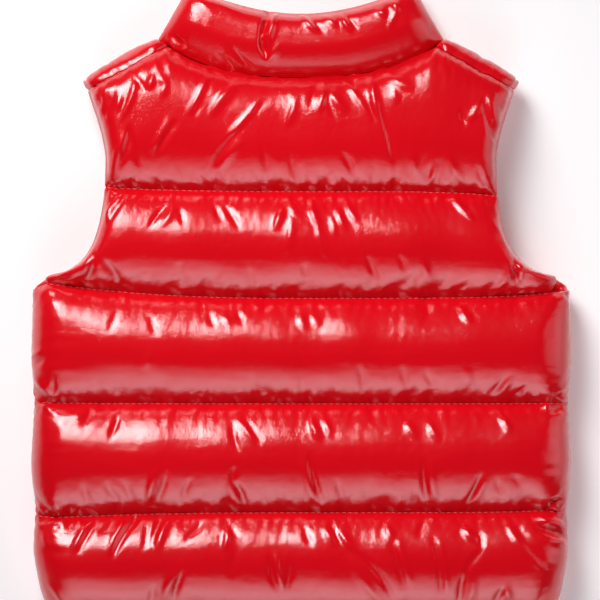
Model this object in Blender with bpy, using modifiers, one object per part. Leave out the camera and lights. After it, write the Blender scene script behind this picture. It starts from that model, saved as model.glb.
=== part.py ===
"""A child's down-filled vest with a stand collar, zipped up and laid flat on its front.

Frame: metres. X runs across the vest, Y runs up from the hem to the collar, Z points up from
the surface that the fronts lie on, so the back panel is on top. The origin is under the middle
of the laid vest. Heights named "up" are measured from the hem.
"""

from collections import namedtuple
from math import pi

import bmesh
import bpy
import numpy as np

# ---------------------------------------------------------------- driving sizes
LENGTH = 0.4712            # hem to the highest corner of the collar
SEAM_GAP = 0.0003          # clearance between sewn pieces
CREST = 0.0275             # outer cloth above the mid layer at the top of a baffle
CREST_INSIDE = 0.0010      # lining above the mid layer at the top of a baffle
EDGE_WALL = 0.0026         # cloth, lining and seam allowance where a wall is stitched flat
QUILT_SPREAD = 0.0095      # mid layer to a stitched line
HEM_SPREAD = 0.0060        # mid layer to the hem edge
NECK_SPREAD = 0.0062       # mid layer to the neck seam and the shoulder seam
SIDE_ROUND = 0.0120        # roundness of the side fold at a stitched line
SIDE_ROUND_CREST = 0.0120  # what the filling adds to it
SIDE_WALL_CREST = 0.0125   # what the filling adds to the wall in the side fold

BODY_LAY = 0.0260          # height of the mid layer under the baffles
NECK_LAY = 0.0150          # and at the collar
HEM_LAY = 0.0180           # and at the hem
NECK_FALL = (0.3350, 0.4400)   # stretch over which it sinks to the collar
HEM_FALL = 0.0450              # stretch over which it sinks to the hem

# ---------------------------------------------------------------- tables of the cut
Outline = namedtuple("Outline", "up half_width")
Quilt = namedtuple("Quilt", "left middle right fold")
Point = namedtuple("Point", "across up")
Fold = namedtuple("Fold", "across up reach width depth lean")
Tuck = namedtuple("Tuck", "share width depth")

SIDE_FOLD = (
    Outline(0.0000, 0.1720),
    Outline(0.0040, 0.1825),
    Outline(0.0140, 0.1918),
    Outline(0.0295, 0.1955),
    Outline(0.0535, 0.1985),
    Outline(0.0785, 0.1975),
    Outline(0.1185, 0.2000),
    Outline(0.1608, 0.1983),
    Outline(0.1985, 0.2000),
    Outline(0.2385, 0.1997),
    Outline(0.2444, 0.1993),
)
ARMHOLE = (
    Outline(0.2530, 0.1885),
    Outline(0.2593, 0.1721),
    Outline(0.2668, 0.1617),
    Outline(0.2742, 0.1561),
    Outline(0.2816, 0.1524),
    Outline(0.2965, 0.1480),
    Outline(0.3188, 0.1446),
    Outline(0.3411, 0.1439),
    Outline(0.3560, 0.1461),
    Outline(0.3708, 0.1502),
    Outline(0.3857, 0.1554),
    Outline(0.4005, 0.1620),
)
SIDE_SEAM = (
    Outline(0.0000, 0.1650),
    Outline(0.0140, 0.1755),
    Outline(0.0295, 0.1790),
    Outline(0.0785, 0.1815),
    Outline(0.1608, 0.1820),
    Outline(0.2200, 0.1825),
    Outline(0.2415, 0.1845),
)
# stitched lines from the hem up: height at the left side seam, in the middle, at the right
# side seam, and where the fronts fold round the side
HEM = Quilt(0.0020, 0.0000, 0.0020, 0.0020)
QUILTS = (
    Quilt(0.0764, 0.0801, 0.0816, 0.0785),
    Quilt(0.1612, 0.1607, 0.1609, 0.1610),
    Quilt(0.2495, 0.2387, 0.2425, 0.2440),
    Quilt(0.3206, 0.3177, 0.3143, 0.3175),
)
# largest folds of the back: middle, half length, half width, depth, lean off upright (degrees)
BACK_FOLDS = (
    Fold(-0.100, 0.352, 0.038, 0.012, 0.0030, -58.0),
    Fold(-0.050, 0.378, 0.026, 0.010, 0.0024, -20.0),
    Fold(0.046, 0.380, 0.028, 0.011, 0.0026, 24.0),
    Fold(0.098, 0.376, 0.030, 0.012, 0.0030, 40.0),
    Fold(0.128, 0.268, 0.024, 0.012, 0.0026, -30.0),
    Fold(-0.046, 0.112, 0.034, 0.013, 0.0026, -14.0),
    Fold(0.126, 0.030, 0.030, 0.013, 0.0026, 38.0),
    Fold(-0.132, 0.046, 0.030, 0.012, 0.0028, 30.0),
)
COLLAR_TUCK = Tuck(-0.245, 0.045, 0.0045)

NECK_POINT = Point(0.1070, 0.4310)
SHOULDER_TIP = Point(0.1620, 0.4005)
BACK_NECK_UP = 0.4028
BACK_NECK_POWER = 2.6
FRONT_NECK_UP = 0.3635
FRONT_NECK_POWER = 2.2
SHOULDER_ROUND = 0.0090    # half the thickness of the fold over the shoulder
SHOULDER_SEAM_IN = 0.0085  # shoulder seam to the fold, on the back
SHOULDER_GAP = 0.0005      # height between the back and the front's fold over the shoulder
BACK_SLANT = 0.50          # slant of the shoulder's neck end, per unit inwards, on the back
FRONT_SLANT = 0.118        # and on the front

COLLAR_CORNER = Point(0.0840, LENGTH)
COLLAR_BACK_UP = 0.4498
COLLAR_BACK_POWER = 1.9
COLLAR_FRONT_UP = 0.4095
COLLAR_FRONT_POWER = 1.7
COLLAR_FILL = 0.0105       # thickness that the filling adds to the collar's wall
COLLAR_INSIDE = 0.0012     # mid layer to the collar's lining
COLLAR_TOP_SPREAD = 0.0024

ZIP_EDGE = 0.0085          # middle of the zip to the front panel's edge
CHAIN_HALF = 0.0026
CHAIN_THICK = 0.0024
TAPE_THICK = 0.0008
SLIDER_LENGTH = 0.0105
SLIDER_HALF = 0.0042
SLIDER_THICK = 0.0050
PULL_LENGTH = 0.0240
PULL_HALF = 0.0030
PULL_THICK = 0.0014

# ---------------------------------------------------------------- where the facets lie
BAFFLE_STEPS = (0.0, 0.05, 0.16, 0.36, 0.64, 0.84, 0.95)
BACK_COLUMNS = (0.0, 0.16, 0.32, 0.48, 0.629, 0.75, 0.86, 0.94, 1.0)
FRONT_COLUMNS = (0.0, 0.06, 0.22, 0.42, 0.645, 0.77, 0.88, 0.94, 0.984, 1.0)
NECK_COLUMN = 4            # the front's column that meets the neck point
BACK_NECK_COLUMN = 4       # the back's column, either side, that meets it
FOLD_START = 6             # the front's column where the side begins to round
TOP_SIDE_TURNS = (0.33, 0.66)      # turns of a right angle past the fold, before the seam
SHOULDER_TURNS = (-0.5, 0.0, 0.5, 0.85)
WRAP_START = 0.025         # share of the shoulder kept clear of the collar in its fold
EDGE_BEND = 5.0            # how late a row bends towards its end
RIM_SHARPNESS = 14.0       # how close to the armhole the wall starts to round

SHELL_RED = (0.60, 0.005, 0.02, 1.0)
TAPE_RED = (0.42, 0.006, 0.02, 1.0)
TOOTH_RED = (0.50, 0.008, 0.02, 1.0)
METAL = (0.62, 0.62, 0.64, 1.0)


# ---------------------------------------------------------------- scene and materials
def clear_scene():
    for old in list(bpy.data.objects):
        bpy.data.objects.remove(old, do_unlink=True)


def material(name, colour, roughness, metallic=0.0):
    made = bpy.data.materials.new(name)
    made.use_nodes = True
    shader = made.node_tree.nodes["Principled BSDF"]
    shader.inputs["Base Color"].default_value = colour
    shader.inputs["Roughness"].default_value = roughness
    shader.inputs["Metallic"].default_value = metallic
    made.diffuse_color = colour
    return made


def add_object(name, mesh, finish, collection, smooth=True):
    mesh.materials.append(finish)
    made = bpy.data.objects.new(name, mesh)
    collection.objects.link(made)
    if smooth:
        mesh.shade_smooth()
        mesh.set_sharp_from_angle(angle=pi / 4)
    return made


# ---------------------------------------------------------------- formulas of the cut
def along(table, up):
    """Half width of a table of Outline rows at a height."""
    heights = [row.up for row in table]
    widths = [row.half_width for row in table]
    return np.interp(up, heights, widths)


def ease(value):
    """0 below 0, 1 above 1 and a smooth step between them."""
    kept = np.clip(value, 0.0, 1.0)
    return kept * kept * (3.0 - 2.0 * kept)


def lay_height(up):
    """Height of the layer between the back and the fronts above the surface."""
    start, end = NECK_FALL
    to_neck = ease((up - start) / (end - start))
    to_hem = ease((HEM_FALL - up) / HEM_FALL)
    return BODY_LAY - (BODY_LAY - NECK_LAY) * to_neck - (BODY_LAY - HEM_LAY) * to_hem


def neck_curve(across, middle_up, power):
    """Neck seam: a power curve from the middle up to the neck point."""
    share = np.minimum(np.abs(across) / NECK_POINT.across, 1.0)
    return middle_up + (NECK_POINT.up - middle_up) * share**power


def fill_across(step):
    """Fullness between two stitched lines: 0 on both and 1 half way."""
    return (1.0 - np.abs(2.0 * step - 1.0) ** 2.3) ** 0.75


def outer_height(spread, fullness):
    return (spread + EDGE_WALL / 2) * (1.0 - fullness) + CREST * fullness


def inner_height(spread, fullness):
    return (spread - EDGE_WALL / 2) * (1.0 - fullness) + CREST_INSIDE * fullness


def edge_points(table, low_up, high_up, steps):
    """Points on an outline between two heights, spaced by the length along it."""
    up = np.linspace(low_up, high_up, 80)
    across = along(table, up)
    run = np.concatenate(([0.0], np.cumsum(np.hypot(np.diff(across), np.diff(up)))))
    wanted = np.asarray(steps) * run[-1]
    return np.interp(wanted, run, across), np.interp(wanted, run, up)


def shoulder_directions():
    """Unit vectors along the shoulder, to the tip, and square to it, outwards."""
    run = np.array(SHOULDER_TIP) - np.array(NECK_POINT)
    to_tip = run / np.linalg.norm(run)
    return to_tip, np.array([-to_tip[1], to_tip[0]])


def shoulder_point(share, inward, neck_slant):
    """A point a distance inside the shoulder's fold, share of the way to the tip."""
    to_tip, outward = shoulder_directions()
    start = np.array(NECK_POINT)
    run = np.array(SHOULDER_TIP) - start
    return (
        start + run * share - outward * inward - to_tip * neck_slant * inward * (1.0 - share)
    )


def quilt_line(quilt, across_share, side):
    """Height of a stitched line; side is -1 or 1, or 0 for the whole back."""
    share = np.abs(across_share)
    if side == 0:
        end = np.where(across_share < 0, quilt.left, quilt.right)
    else:
        end = quilt.fold
    return quilt.middle + (end - quilt.middle) * share**EDGE_BEND


# ---------------------------------------------------------------- closed walls
def wall_mesh(name, outer, inner, keep, flip):
    """Closed wall between two grids of points, over the kept cells only.

    Both grids are rows x columns x 3. Every kept cell gives an outer and an inner face, and
    every edge of the kept region gives a face between them.
    """
    rows, columns = keep.shape
    bm = bmesh.new()
    layers = []
    used = np.zeros((rows + 1, columns + 1), bool)
    for row, column in np.argwhere(keep):
        used[row : row + 2, column : column + 2] = True
    for grid in (outer, inner):
        verts = {}
        for row, column in np.argwhere(used):
            verts[row, column] = bm.verts.new(grid[row, column])
        layers.append(verts)
    top, bottom = layers

    def kept(row, column):
        return 0 <= row < rows and 0 <= column < columns and keep[row, column]

    for row, column in np.argwhere(keep):
        ring = ((row, column), (row, column + 1), (row + 1, column + 1), (row + 1, column))
        bm.faces.new([top[corner] for corner in ring])
        bm.faces.new([bottom[corner] for corner in reversed(ring)])
        beyond = ((row - 1, column), (row, column + 1), (row + 1, column), (row, column - 1))
        for index, neighbour in enumerate(beyond):
            if not kept(*neighbour):
                first, second = ring[index], ring[(index + 1) % 4]
                bm.faces.new([top[second], top[first], bottom[first], bottom[second]])
    if flip:
        bmesh.ops.reverse_faces(bm, faces=bm.faces)
    bmesh.ops.triangulate(bm, faces=bm.faces)
    bmesh.ops.translate(bm, verts=bm.verts, vec=(0.0, -LENGTH / 2, 0.0))
    mesh = bpy.data.meshes.new(name)
    bm.to_mesh(mesh)
    bm.free()
    return mesh


def baffle_rows():
    """(index of the baffle, step inside it) for every row of a body panel, from the hem."""
    rows = [(baffle, step) for baffle in range(len(QUILTS) + 1) for step in BAFFLE_STEPS]
    return rows + [(len(QUILTS), 1.0)]


def line_spread(baffle, step):
    """Spread of the walls on the stitched lines either side of a row."""
    spreads = (HEM_SPREAD,) + (QUILT_SPREAD,) * len(QUILTS) + (NECK_SPREAD,)
    return spreads[baffle] + (spreads[baffle + 1] - spreads[baffle]) * step


# ---------------------------------------------------------------- back panel
def back_top(across):
    """Top edge of the back: the neck seam, then the shoulder seam to the armhole."""
    corner = shoulder_point(0.0, SHOULDER_SEAM_IN, BACK_SLANT)
    tip = shoulder_point(1.0, SHOULDER_SEAM_IN, BACK_SLANT)
    distance = np.abs(across)
    shoulder = np.interp(distance, (corner[0], tip[0]), (corner[1], tip[1]))
    neck = neck_curve(across, BACK_NECK_UP, BACK_NECK_POWER)
    return np.where(distance < corner[0], np.minimum(neck, shoulder), shoulder)


def back_rows(share):
    """Across and up of every point of the back panel."""
    tip = shoulder_point(1.0, SHOULDER_SEAM_IN, BACK_SLANT)
    rim = SIDE_SEAM + ARMHOLE[:-1] + (Outline(tip[1], tip[0]),)
    tops = [quilt_line(line, share, 0) for line in (HEM,) + QUILTS]
    tops.append(back_top(share * tip[0]) - SHOULDER_GAP)
    across = []
    up = []
    for baffle, step in baffle_rows():
        low, high = tops[baffle], tops[baffle + 1]
        ends = [edge_points(rim, low[side], high[side], (step,)) for side in (0, -1)]
        straight = low + (high - low) * step
        left, right = (float(end[1][0]) - straight[side] for side, end in zip((0, -1), ends))
        bend = np.where(share < 0, left, right) * np.abs(share) ** EDGE_BEND
        width = np.where(share < 0, ends[0][0][0], ends[1][0][0])
        across.append(share * width)
        up.append(straight + bend)
    return np.array(across), np.array(up)


def fold_depth(across, up):
    """Depth of all the large folds at a point: each is a smooth trough on a slanted line."""
    depth = np.zeros_like(across)
    for fold in BACK_FOLDS:
        lean = np.radians(fold.lean)
        along_fold = (across - fold.across) * np.sin(lean) + (up - fold.up) * np.cos(lean)
        beside = (across - fold.across) * np.cos(lean) - (up - fold.up) * np.sin(lean)
        reach = np.clip(1.0 - (along_fold / fold.reach) ** 2, 0.0, None)
        depth += fold.depth * reach * np.exp(-((beside / fold.width) ** 2))
    return depth


def side_profile(across, up, fullness):
    """How far the top of the section has fallen at this distance from the side fold."""
    fold = along(SIDE_FOLD, up)
    radius = SIDE_ROUND + SIDE_ROUND_CREST * fullness
    past = np.clip((np.abs(across) - (fold - radius)) / radius, 0.0, 1.0)
    return np.sqrt(1.0 - past**2)


def back_panel(finish, collection):
    half = np.array(BACK_COLUMNS)
    share = np.concatenate((-half[:0:-1], half))
    across, up = back_rows(share)
    outer = np.zeros(across.shape + (3,))
    inner = np.zeros(across.shape + (3,))
    for row, (baffle, step) in enumerate(baffle_rows()):
        fullness = np.full(share.shape, fill_across(step))
        if baffle < 3:
            round_off = side_profile(across[row], up[row], fullness)
        else:
            fullness = fullness * (1.0 - np.abs(share) ** RIM_SHARPNESS) ** 0.6
            round_off = 1.0
        spread = line_spread(baffle, step)
        middle = lay_height(up[row])
        dent = fold_depth(across[row], up[row]) * fullness
        outer[row, :, 2] = middle + outer_height(spread, fullness) * round_off - dent
        inner[row, :, 2] = middle + inner_height(spread, fullness)
    for grid in (outer, inner):
        grid[:, :, 0] = across
        grid[:, :, 1] = up
    keep = np.ones((len(up) - 1, len(share) - 1), bool)
    mesh = wall_mesh("back", outer, inner, keep, flip=False)
    return add_object("back", mesh, finish, collection)


# ---------------------------------------------------------------- front panels
def front_top(share):
    """Top edge of a front on its own side: across and up, before it folds over the shoulder."""
    neck_end = shoulder_point(0.0, SHOULDER_ROUND, FRONT_SLANT)
    tip = shoulder_point(1.0, SHOULDER_ROUND, FRONT_SLANT)
    across = ZIP_EDGE + (tip[0] - ZIP_EDGE) * share
    shoulder = np.interp(across, (neck_end[0], tip[0]), (neck_end[1], tip[1]))
    neck = neck_curve(across, FRONT_NECK_UP, FRONT_NECK_POWER)
    return np.where(across < neck_end[0], np.minimum(neck, shoulder), shoulder)


def front_fold(row_up, seam, seam_up, baffle, step):
    """One row of a front past the start of its side fold: outer and inner points."""
    fullness = fill_across(step)
    spread = line_spread(baffle, step)
    fold = along(SIDE_FOLD, row_up)
    middle = lay_height(row_up)
    radius = SIDE_ROUND + SIDE_ROUND_CREST * fullness
    high = outer_height(spread, fullness)
    low = inner_height(spread, fullness)
    inner_end = fold - EDGE_WALL - SIDE_WALL_CREST * fullness
    inner_radius = min(low, inner_end - seam - SEAM_GAP)
    quarter = (np.array(FRONT_COLUMNS[FOLD_START:]) - FRONT_COLUMNS[FOLD_START]) / (
        1.0 - FRONT_COLUMNS[FOLD_START]
    )
    below = -np.arccos(quarter)
    above = np.array(TOP_SIDE_TURNS) * pi / 2
    turn = np.concatenate((below, above))
    outer = np.zeros((len(turn) + 1, 3))
    inner = np.zeros((len(turn) + 1, 3))
    outer[:-1, 0] = fold - radius + radius * np.cos(turn)
    outer[:-1, 2] = middle + high * np.sin(turn)
    inner[:-1, 0] = inner_end - inner_radius + inner_radius * np.cos(turn)
    inner[:-1, 2] = middle + low * np.sin(turn)
    seam_edge = seam + SEAM_GAP
    past = np.clip((seam_edge - (fold - radius)) / radius, 0.0, 1.0)
    outer[-1] = (seam_edge, 0.0, middle + high * np.sqrt(1.0 - past**2))
    inner[-1] = (seam_edge, 0.0, middle + low)
    on_top = np.zeros(len(turn) + 1)
    on_top[len(below) - 1 :] = np.linspace(0.0, 1.0, len(above) + 2)
    for grid in (outer, inner):
        grid[:, 1] = row_up + (seam_up - row_up) * on_top
    return outer, inner


def front_panel(name, side, finish, collection):
    share = np.array(FRONT_COLUMNS)
    last = len(share) - 1
    columns = len(share) + len(TOP_SIDE_TURNS) + 1
    rows = baffle_rows()
    outer = np.zeros((len(rows) + len(SHOULDER_TURNS), columns, 3))
    inner = np.zeros_like(outer)
    tip = shoulder_point(1.0, SHOULDER_ROUND, FRONT_SLANT)
    rim = SIDE_FOLD + ARMHOLE[:-1] + (Outline(tip[1], tip[0]),)
    lines = [quilt_line(line, share, side) for line in (HEM,) + QUILTS]
    lines.append(front_top(share))
    for row, (baffle, step) in enumerate(rows):
        low, high = lines[baffle], lines[baffle + 1]
        (edge,), (edge_up,) = edge_points(rim, low[-1], high[-1], (step,))
        straight = low + (high - low) * step
        up = straight + (edge_up - straight[-1]) * share**EDGE_BEND
        folded = baffle < 3 or (baffle == 3 and step == 0.0)
        fullness = fill_across(step) * (1.0 - (1.0 - share) ** 40) ** 0.6
        if not folded:
            fullness = fullness * (1.0 - share**RIM_SHARPNESS) ** 0.6
        spread = line_spread(baffle, step)
        middle = lay_height(up)
        across = ZIP_EDGE + (edge - ZIP_EDGE) * share
        for grid, height in ((outer, outer_height), (inner, inner_height)):
            grid[row, : last + 1, 0] = across
            grid[row, : last + 1, 1] = up
            grid[row, : last + 1, 2] = middle - height(spread, fullness)
        if folded:
            quilt_end = [quilt.left if side < 0 else quilt.right for quilt in (HEM,) + QUILTS]
            seam_up = quilt_end[baffle] + (quilt_end[baffle + 1] - quilt_end[baffle]) * step
            seam = along(SIDE_SEAM + ARMHOLE, seam_up)
            outside, inside = front_fold(edge_up, seam, seam_up, baffle, step)
            for grid, bent in ((outer, outside), (inner, inside)):
                stretch = (bent[0, 0] - ZIP_EDGE) / share[FOLD_START]
                grid[row, :FOLD_START, 0] = ZIP_EDGE + stretch * share[:FOLD_START]
                grid[row, FOLD_START:, 0] = bent[:, 0]
                grid[row, last:, 1] = bent[last - FOLD_START :, 1]
                grid[row, FOLD_START:, 2] = bent[:, 2]
    top_row = len(rows) - 1
    tip_across = outer[top_row, last, 0]
    neck_across = outer[top_row, NECK_COLUMN, 0]
    for number, turn in enumerate(SHOULDER_TURNS):
        angle = turn * pi / 2
        slant = FRONT_SLANT if turn < 0 else BACK_SLANT
        for grid, radius, height in (
            (outer, SHOULDER_ROUND, NECK_SPREAD + EDGE_WALL / 2),
            (inner, SHOULDER_ROUND - EDGE_WALL, NECK_SPREAD - EDGE_WALL / 2),
        ):
            inward = SHOULDER_ROUND - radius * np.cos(angle)
            for column in range(NECK_COLUMN, last + 1):
                along_share = (outer[top_row, column, 0] - neck_across) / (
                    tip_across - neck_across
                )
                clear_share = WRAP_START + (1.0 - WRAP_START) * along_share
                across, up = shoulder_point(clear_share, inward, slant)
                middle = lay_height(up)
                grid[top_row + 1 + number, column] = (
                    across,
                    up,
                    middle + height * np.sin(angle),
                )
    outer[:, :, 2] = np.maximum(outer[:, :, 2], 0.0)
    for grid in (outer, inner):
        grid[:, :, 0] *= side
    keep = np.zeros((len(outer) - 1, columns - 1), bool)
    folded_rows = 3 * len(BAFFLE_STEPS)
    keep[:folded_rows] = True
    keep[folded_rows:top_row, :last] = True
    keep[top_row:, NECK_COLUMN:last] = True
    mesh = wall_mesh(name, outer, inner, keep, flip=side > 0)
    return add_object(name, mesh, finish, collection)


# ---------------------------------------------------------------- collar
COLLAR_STEPS = (0.0, 0.12, 0.32, 0.5, 0.68, 0.88, 1.0)
COLLAR_BACK_SHARES = (-0.90, -0.78, -0.6, -0.42, -0.31, -0.245, -0.18, 0.0, 0.2, 0.4, 0.6, 0.78, 0.90)
COLLAR_FRONT_SHARES = (0.90, 0.78, 0.6, 0.4, 0.2, 0.0)
COLLAR_TURNS = (1.0, 0.66, 0.33, 0.0, -0.33, -0.66, -1.0)
COLLAR_ROUND = 0.0085
NECK_GAP = 0.0007          # height between the collar and the panels at the neck seam


def seam_line(across, panel_across, panel_up):
    """Height of the neck seam on a panel's own facets, out to the neck point."""
    stops = np.append(panel_across, NECK_POINT.across)
    heights = np.append(panel_up, NECK_POINT.up)
    return np.interp(np.abs(across), stops, heights)


def collar_lines(share, rise):
    """Up of the collar's back and of its front at a share of its half width."""
    tip = shoulder_point(1.0, SHOULDER_SEAM_IN, BACK_SLANT)
    back_stops = np.array(BACK_COLUMNS[: BACK_NECK_COLUMN + 1]) * tip[0]
    back_base = seam_line(share * NECK_POINT.across, back_stops, back_top(back_stops))
    tip = shoulder_point(1.0, SHOULDER_ROUND, FRONT_SLANT)
    front_share = np.array(FRONT_COLUMNS[: NECK_COLUMN + 1])
    front_stops = ZIP_EDGE + (tip[0] - ZIP_EDGE) * front_share
    front_base = seam_line(share * NECK_POINT.across, front_stops, front_top(front_share))
    size = np.abs(share)
    back_top_up = COLLAR_BACK_UP + (LENGTH - COLLAR_BACK_UP) * size**COLLAR_BACK_POWER
    front_top_up = COLLAR_FRONT_UP + (LENGTH - COLLAR_FRONT_UP) * size**COLLAR_FRONT_POWER
    back = back_base + (back_top_up - back_base) * rise
    front = front_base + (front_top_up - front_base) * rise
    return back, front


def collar_heights(rise):
    """Outer cloth and lining above the mid layer at a share of the collar's height."""
    fullness = fill_across(rise)
    spread = NECK_SPREAD + (COLLAR_TOP_SPREAD - NECK_SPREAD) * rise
    inside = (spread - EDGE_WALL / 2) * (1.0 - fullness) + COLLAR_INSIDE * fullness
    return inside + EDGE_WALL + COLLAR_FILL * fullness, inside


def collar(finish, collection):
    """A flattened ring, open at the zip: front half, side fold, back, side fold, front half."""
    right = [("turn", turn, 1) for turn in COLLAR_TURNS]
    right += [("front", share, 1) for share in COLLAR_FRONT_SHARES]
    left = [(kind, value, -1) for kind, value, _ in reversed(right)]
    stations = left + [("back", share, 1) for share in COLLAR_BACK_SHARES] + right
    outer = np.zeros((len(COLLAR_STEPS), len(stations), 3))
    inner = np.zeros_like(outer)
    for row, rise in enumerate(COLLAR_STEPS):
        half = NECK_POINT.across + (COLLAR_CORNER.across - NECK_POINT.across) * rise
        outside, inside = collar_heights(rise)
        for grid, height, pull in ((outer, outside, 0.0), (inner, inside, outside - inside)):
            reach = half - pull
            radius = COLLAR_ROUND - min(pull, COLLAR_ROUND - 0.001)
            flat = (reach - radius) * 0.985
            for column, (kind, value, side) in enumerate(stations):
                lift = -height
                on_back = 0.0
                if kind == "turn":
                    angle = value * pi / 2
                    across = reach - radius + radius * np.cos(angle)
                    lift = height * np.sin(angle)
                    on_back = 1.0 if value >= 0.0 else 0.0
                elif kind == "front":
                    across = max(value / COLLAR_FRONT_SHARES[0] * flat, ZIP_EDGE)
                else:
                    across = value / COLLAR_BACK_SHARES[-1] * flat
                    beside = (value - COLLAR_TUCK.share) / COLLAR_TUCK.width
                    dent = COLLAR_TUCK.depth * fill_across(rise) * np.exp(-(beside**2))
                    lift = height - dent * (1.0 if grid is outer else 0.0)
                    on_back = 1.0
                back_up, front_up = collar_lines(across / half, rise)
                up = front_up + (back_up - front_up) * on_back + NECK_GAP * (1.0 - rise)
                grid[row, column] = (side * across, up, lay_height(up) + lift)
    outer[:, :, 2] = np.maximum(outer[:, :, 2], 0.0)
    keep = np.ones((len(COLLAR_STEPS) - 1, len(stations) - 1), bool)
    mesh = wall_mesh("collar", outer, inner, keep, flip=False)
    return add_object("collar", mesh, finish, collection)


# ---------------------------------------------------------------- zip
def zip_level(up):
    """Height of the zip's own mid plane, on the wall of the fronts."""
    spread = np.interp(
        up,
        (0.0, QUILTS[0].middle, QUILTS[-1].middle, FRONT_NECK_UP, COLLAR_FRONT_UP),
        (HEM_SPREAD, QUILT_SPREAD, QUILT_SPREAD, NECK_SPREAD, COLLAR_TOP_SPREAD),
    )
    return lay_height(up) - spread


def strip(name, near, far, low_up, high_up, thickness, finish, collection):
    """A flat band along the zip, from one distance across to another."""
    stops = np.linspace(low_up, high_up, 17)
    outer = np.zeros((len(stops), 2, 3))
    for column, across in enumerate((near, far)):
        outer[:, column, 0] = across
        outer[:, column, 1] = stops
        outer[:, column, 2] = zip_level(stops) + thickness / 2
    inner = outer.copy()
    inner[:, :, 2] -= thickness
    keep = np.ones((len(stops) - 1, 1), bool)
    mesh = wall_mesh(name, outer, inner, keep, flip=far < near)
    return add_object(name, mesh, finish, collection, smooth=False)


def box_mesh(name, size, middle):
    """A box of a size about a point."""
    bm = bmesh.new()
    made = bmesh.ops.create_cube(bm, size=1.0)
    bmesh.ops.scale(bm, verts=made["verts"], vec=size)
    bmesh.ops.translate(bm, verts=made["verts"], vec=middle)
    mesh = bpy.data.meshes.new(name)
    bm.to_mesh(mesh)
    bm.free()
    return mesh


def boxes(name, parts, bevel, finish, collection, place):
    """Boxes given as (size, middle) joined into one body, set at a place."""
    first, *others = parts
    joined = bpy.data.objects.new(name, box_mesh(name, *first))
    joined.data.materials.append(finish)
    joined.location = place
    collection.objects.link(joined)
    for number, (size, middle) in enumerate(others, start=1):
        added_name = f"{name}_add_{number}"
        piece = bpy.data.objects.new(added_name, box_mesh(added_name, size, middle))
        piece.location = place
        piece.hide_render = True
        piece.display_type = "WIRE"
        added_shapes().objects.link(piece)
        join = joined.modifiers.new(f"join_{number}", "BOOLEAN")
        join.operation = "UNION"
        join.solver = "EXACT"
        join.object = piece
    rounding = joined.modifiers.new("rounding", "BEVEL")
    rounding.width = bevel
    rounding.segments = 1
    rounding.limit_method = "ANGLE"


def added_shapes():
    """The collection of the shapes that small fittings are joined from."""
    found = bpy.data.collections.get("added_shapes")
    if found is None:
        found = bpy.data.collections.new("added_shapes")
        bpy.context.scene.collection.children.link(found)
    return found


def zip_fastener(tape_finish, tooth_finish, metal_finish, collection):
    """Both tapes, the closed chain, the box at the hem, the slider and its pull tab."""
    top_up = COLLAR_FRONT_UP - 0.0010
    slider_low = top_up - SLIDER_LENGTH
    chain_top = slider_low - SEAM_GAP
    box_length = 0.0090
    tape_near = CHAIN_HALF + SEAM_GAP
    tape_far = ZIP_EDGE - SEAM_GAP
    for name, side in (("zip_tape_left", -1), ("zip_tape_right", 1)):
        strip(
            name,
            side * tape_near,
            side * tape_far,
            box_length + 2 * SEAM_GAP,
            chain_top,
            TAPE_THICK,
            tape_finish,
            collection,
        )
    strip(
        "zip_chain",
        -CHAIN_HALF,
        CHAIN_HALF,
        box_length + 2 * SEAM_GAP,
        chain_top,
        CHAIN_THICK,
        tooth_finish,
        collection,
    )
    box_place = (0.0, box_length / 2 + SEAM_GAP - LENGTH / 2, zip_level(box_length / 2))
    boxes(
        "zip_box",
        [((2 * SLIDER_HALF, box_length, SLIDER_THICK * 0.7), (0.0, 0.0, 0.0))],
        0.0006,
        metal_finish,
        collection,
        box_place,
    )
    middle_up = slider_low + SLIDER_LENGTH / 2
    slider_place = (0.0, middle_up - LENGTH / 2, zip_level(middle_up))
    face = -SLIDER_THICK / 2
    bail_depth = 0.0042
    bail_thick = 0.0010
    bail_half = 0.0035
    bail = [
        ((0.0012, bail_thick, bail_depth), (0.0, side * bail_half, face - bail_depth / 2 + 0.0003))
        for side in (-1, 1)
    ]
    bridge = (
        (0.0012, 2 * bail_half + bail_thick, bail_thick),
        (0.0, 0.0, face - bail_depth + bail_thick / 2 + 0.0003),
    )
    body = ((2 * SLIDER_HALF, SLIDER_LENGTH, SLIDER_THICK), (0.0, 0.0, 0.0))
    boxes(
        "zip_slider", [body] + bail + [bridge], 0.0003, metal_finish, collection, slider_place
    )
    pin_level = slider_place[2] + face - 0.0016
    pull_place = (0.0, slider_place[1], pin_level)
    slot = 0.0052
    rails = [
        ((0.0016, slot + 0.0030, PULL_THICK), (side * (PULL_HALF - 0.0008), -slot / 2, 0.0))
        for side in (-1, 1)
    ]
    pin = ((2 * PULL_HALF, 0.0012, 0.0012), (0.0, 0.0, 0.0))
    blade_length = PULL_LENGTH - slot
    blade = (
        (2 * PULL_HALF, blade_length, PULL_THICK),
        (0.0, -slot - blade_length / 2, 0.0),
    )
    boxes("zip_pull", [blade] + rails + [pin], 0.0002, metal_finish, collection, pull_place)


def main():
    clear_scene()
    collection = bpy.data.collections.new("padded_vest")
    bpy.context.scene.collection.children.link(collection)
    shell = material("lacquered_cloth", SHELL_RED, 0.22)
    tape = material("woven_tape", TAPE_RED, 0.75)
    teeth = material("moulded_teeth", TOOTH_RED, 0.35)
    metal = material("plain_metal", METAL, 0.28, 1.0)
    back_panel(shell, collection)
    front_panel("front_left", -1, shell, collection)
    front_panel("front_right", 1, shell, collection)
    collar(shell, collection)
    zip_fastener(tape, teeth, metal, collection)


main()
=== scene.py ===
"""Looks of a child's down-filled vest that lies flat on its front, back up.

The construction comes packed as a fixed frame. This script builds the padded cloth, its seams,
stitches, creases and zip around that frame, gives every piece its finish, and sets a plain
studio with a camera straight above. Units are metres; X runs across the vest, Y from the hem
to the collar, Z up from the surface that the fronts lie on.
"""

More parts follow.
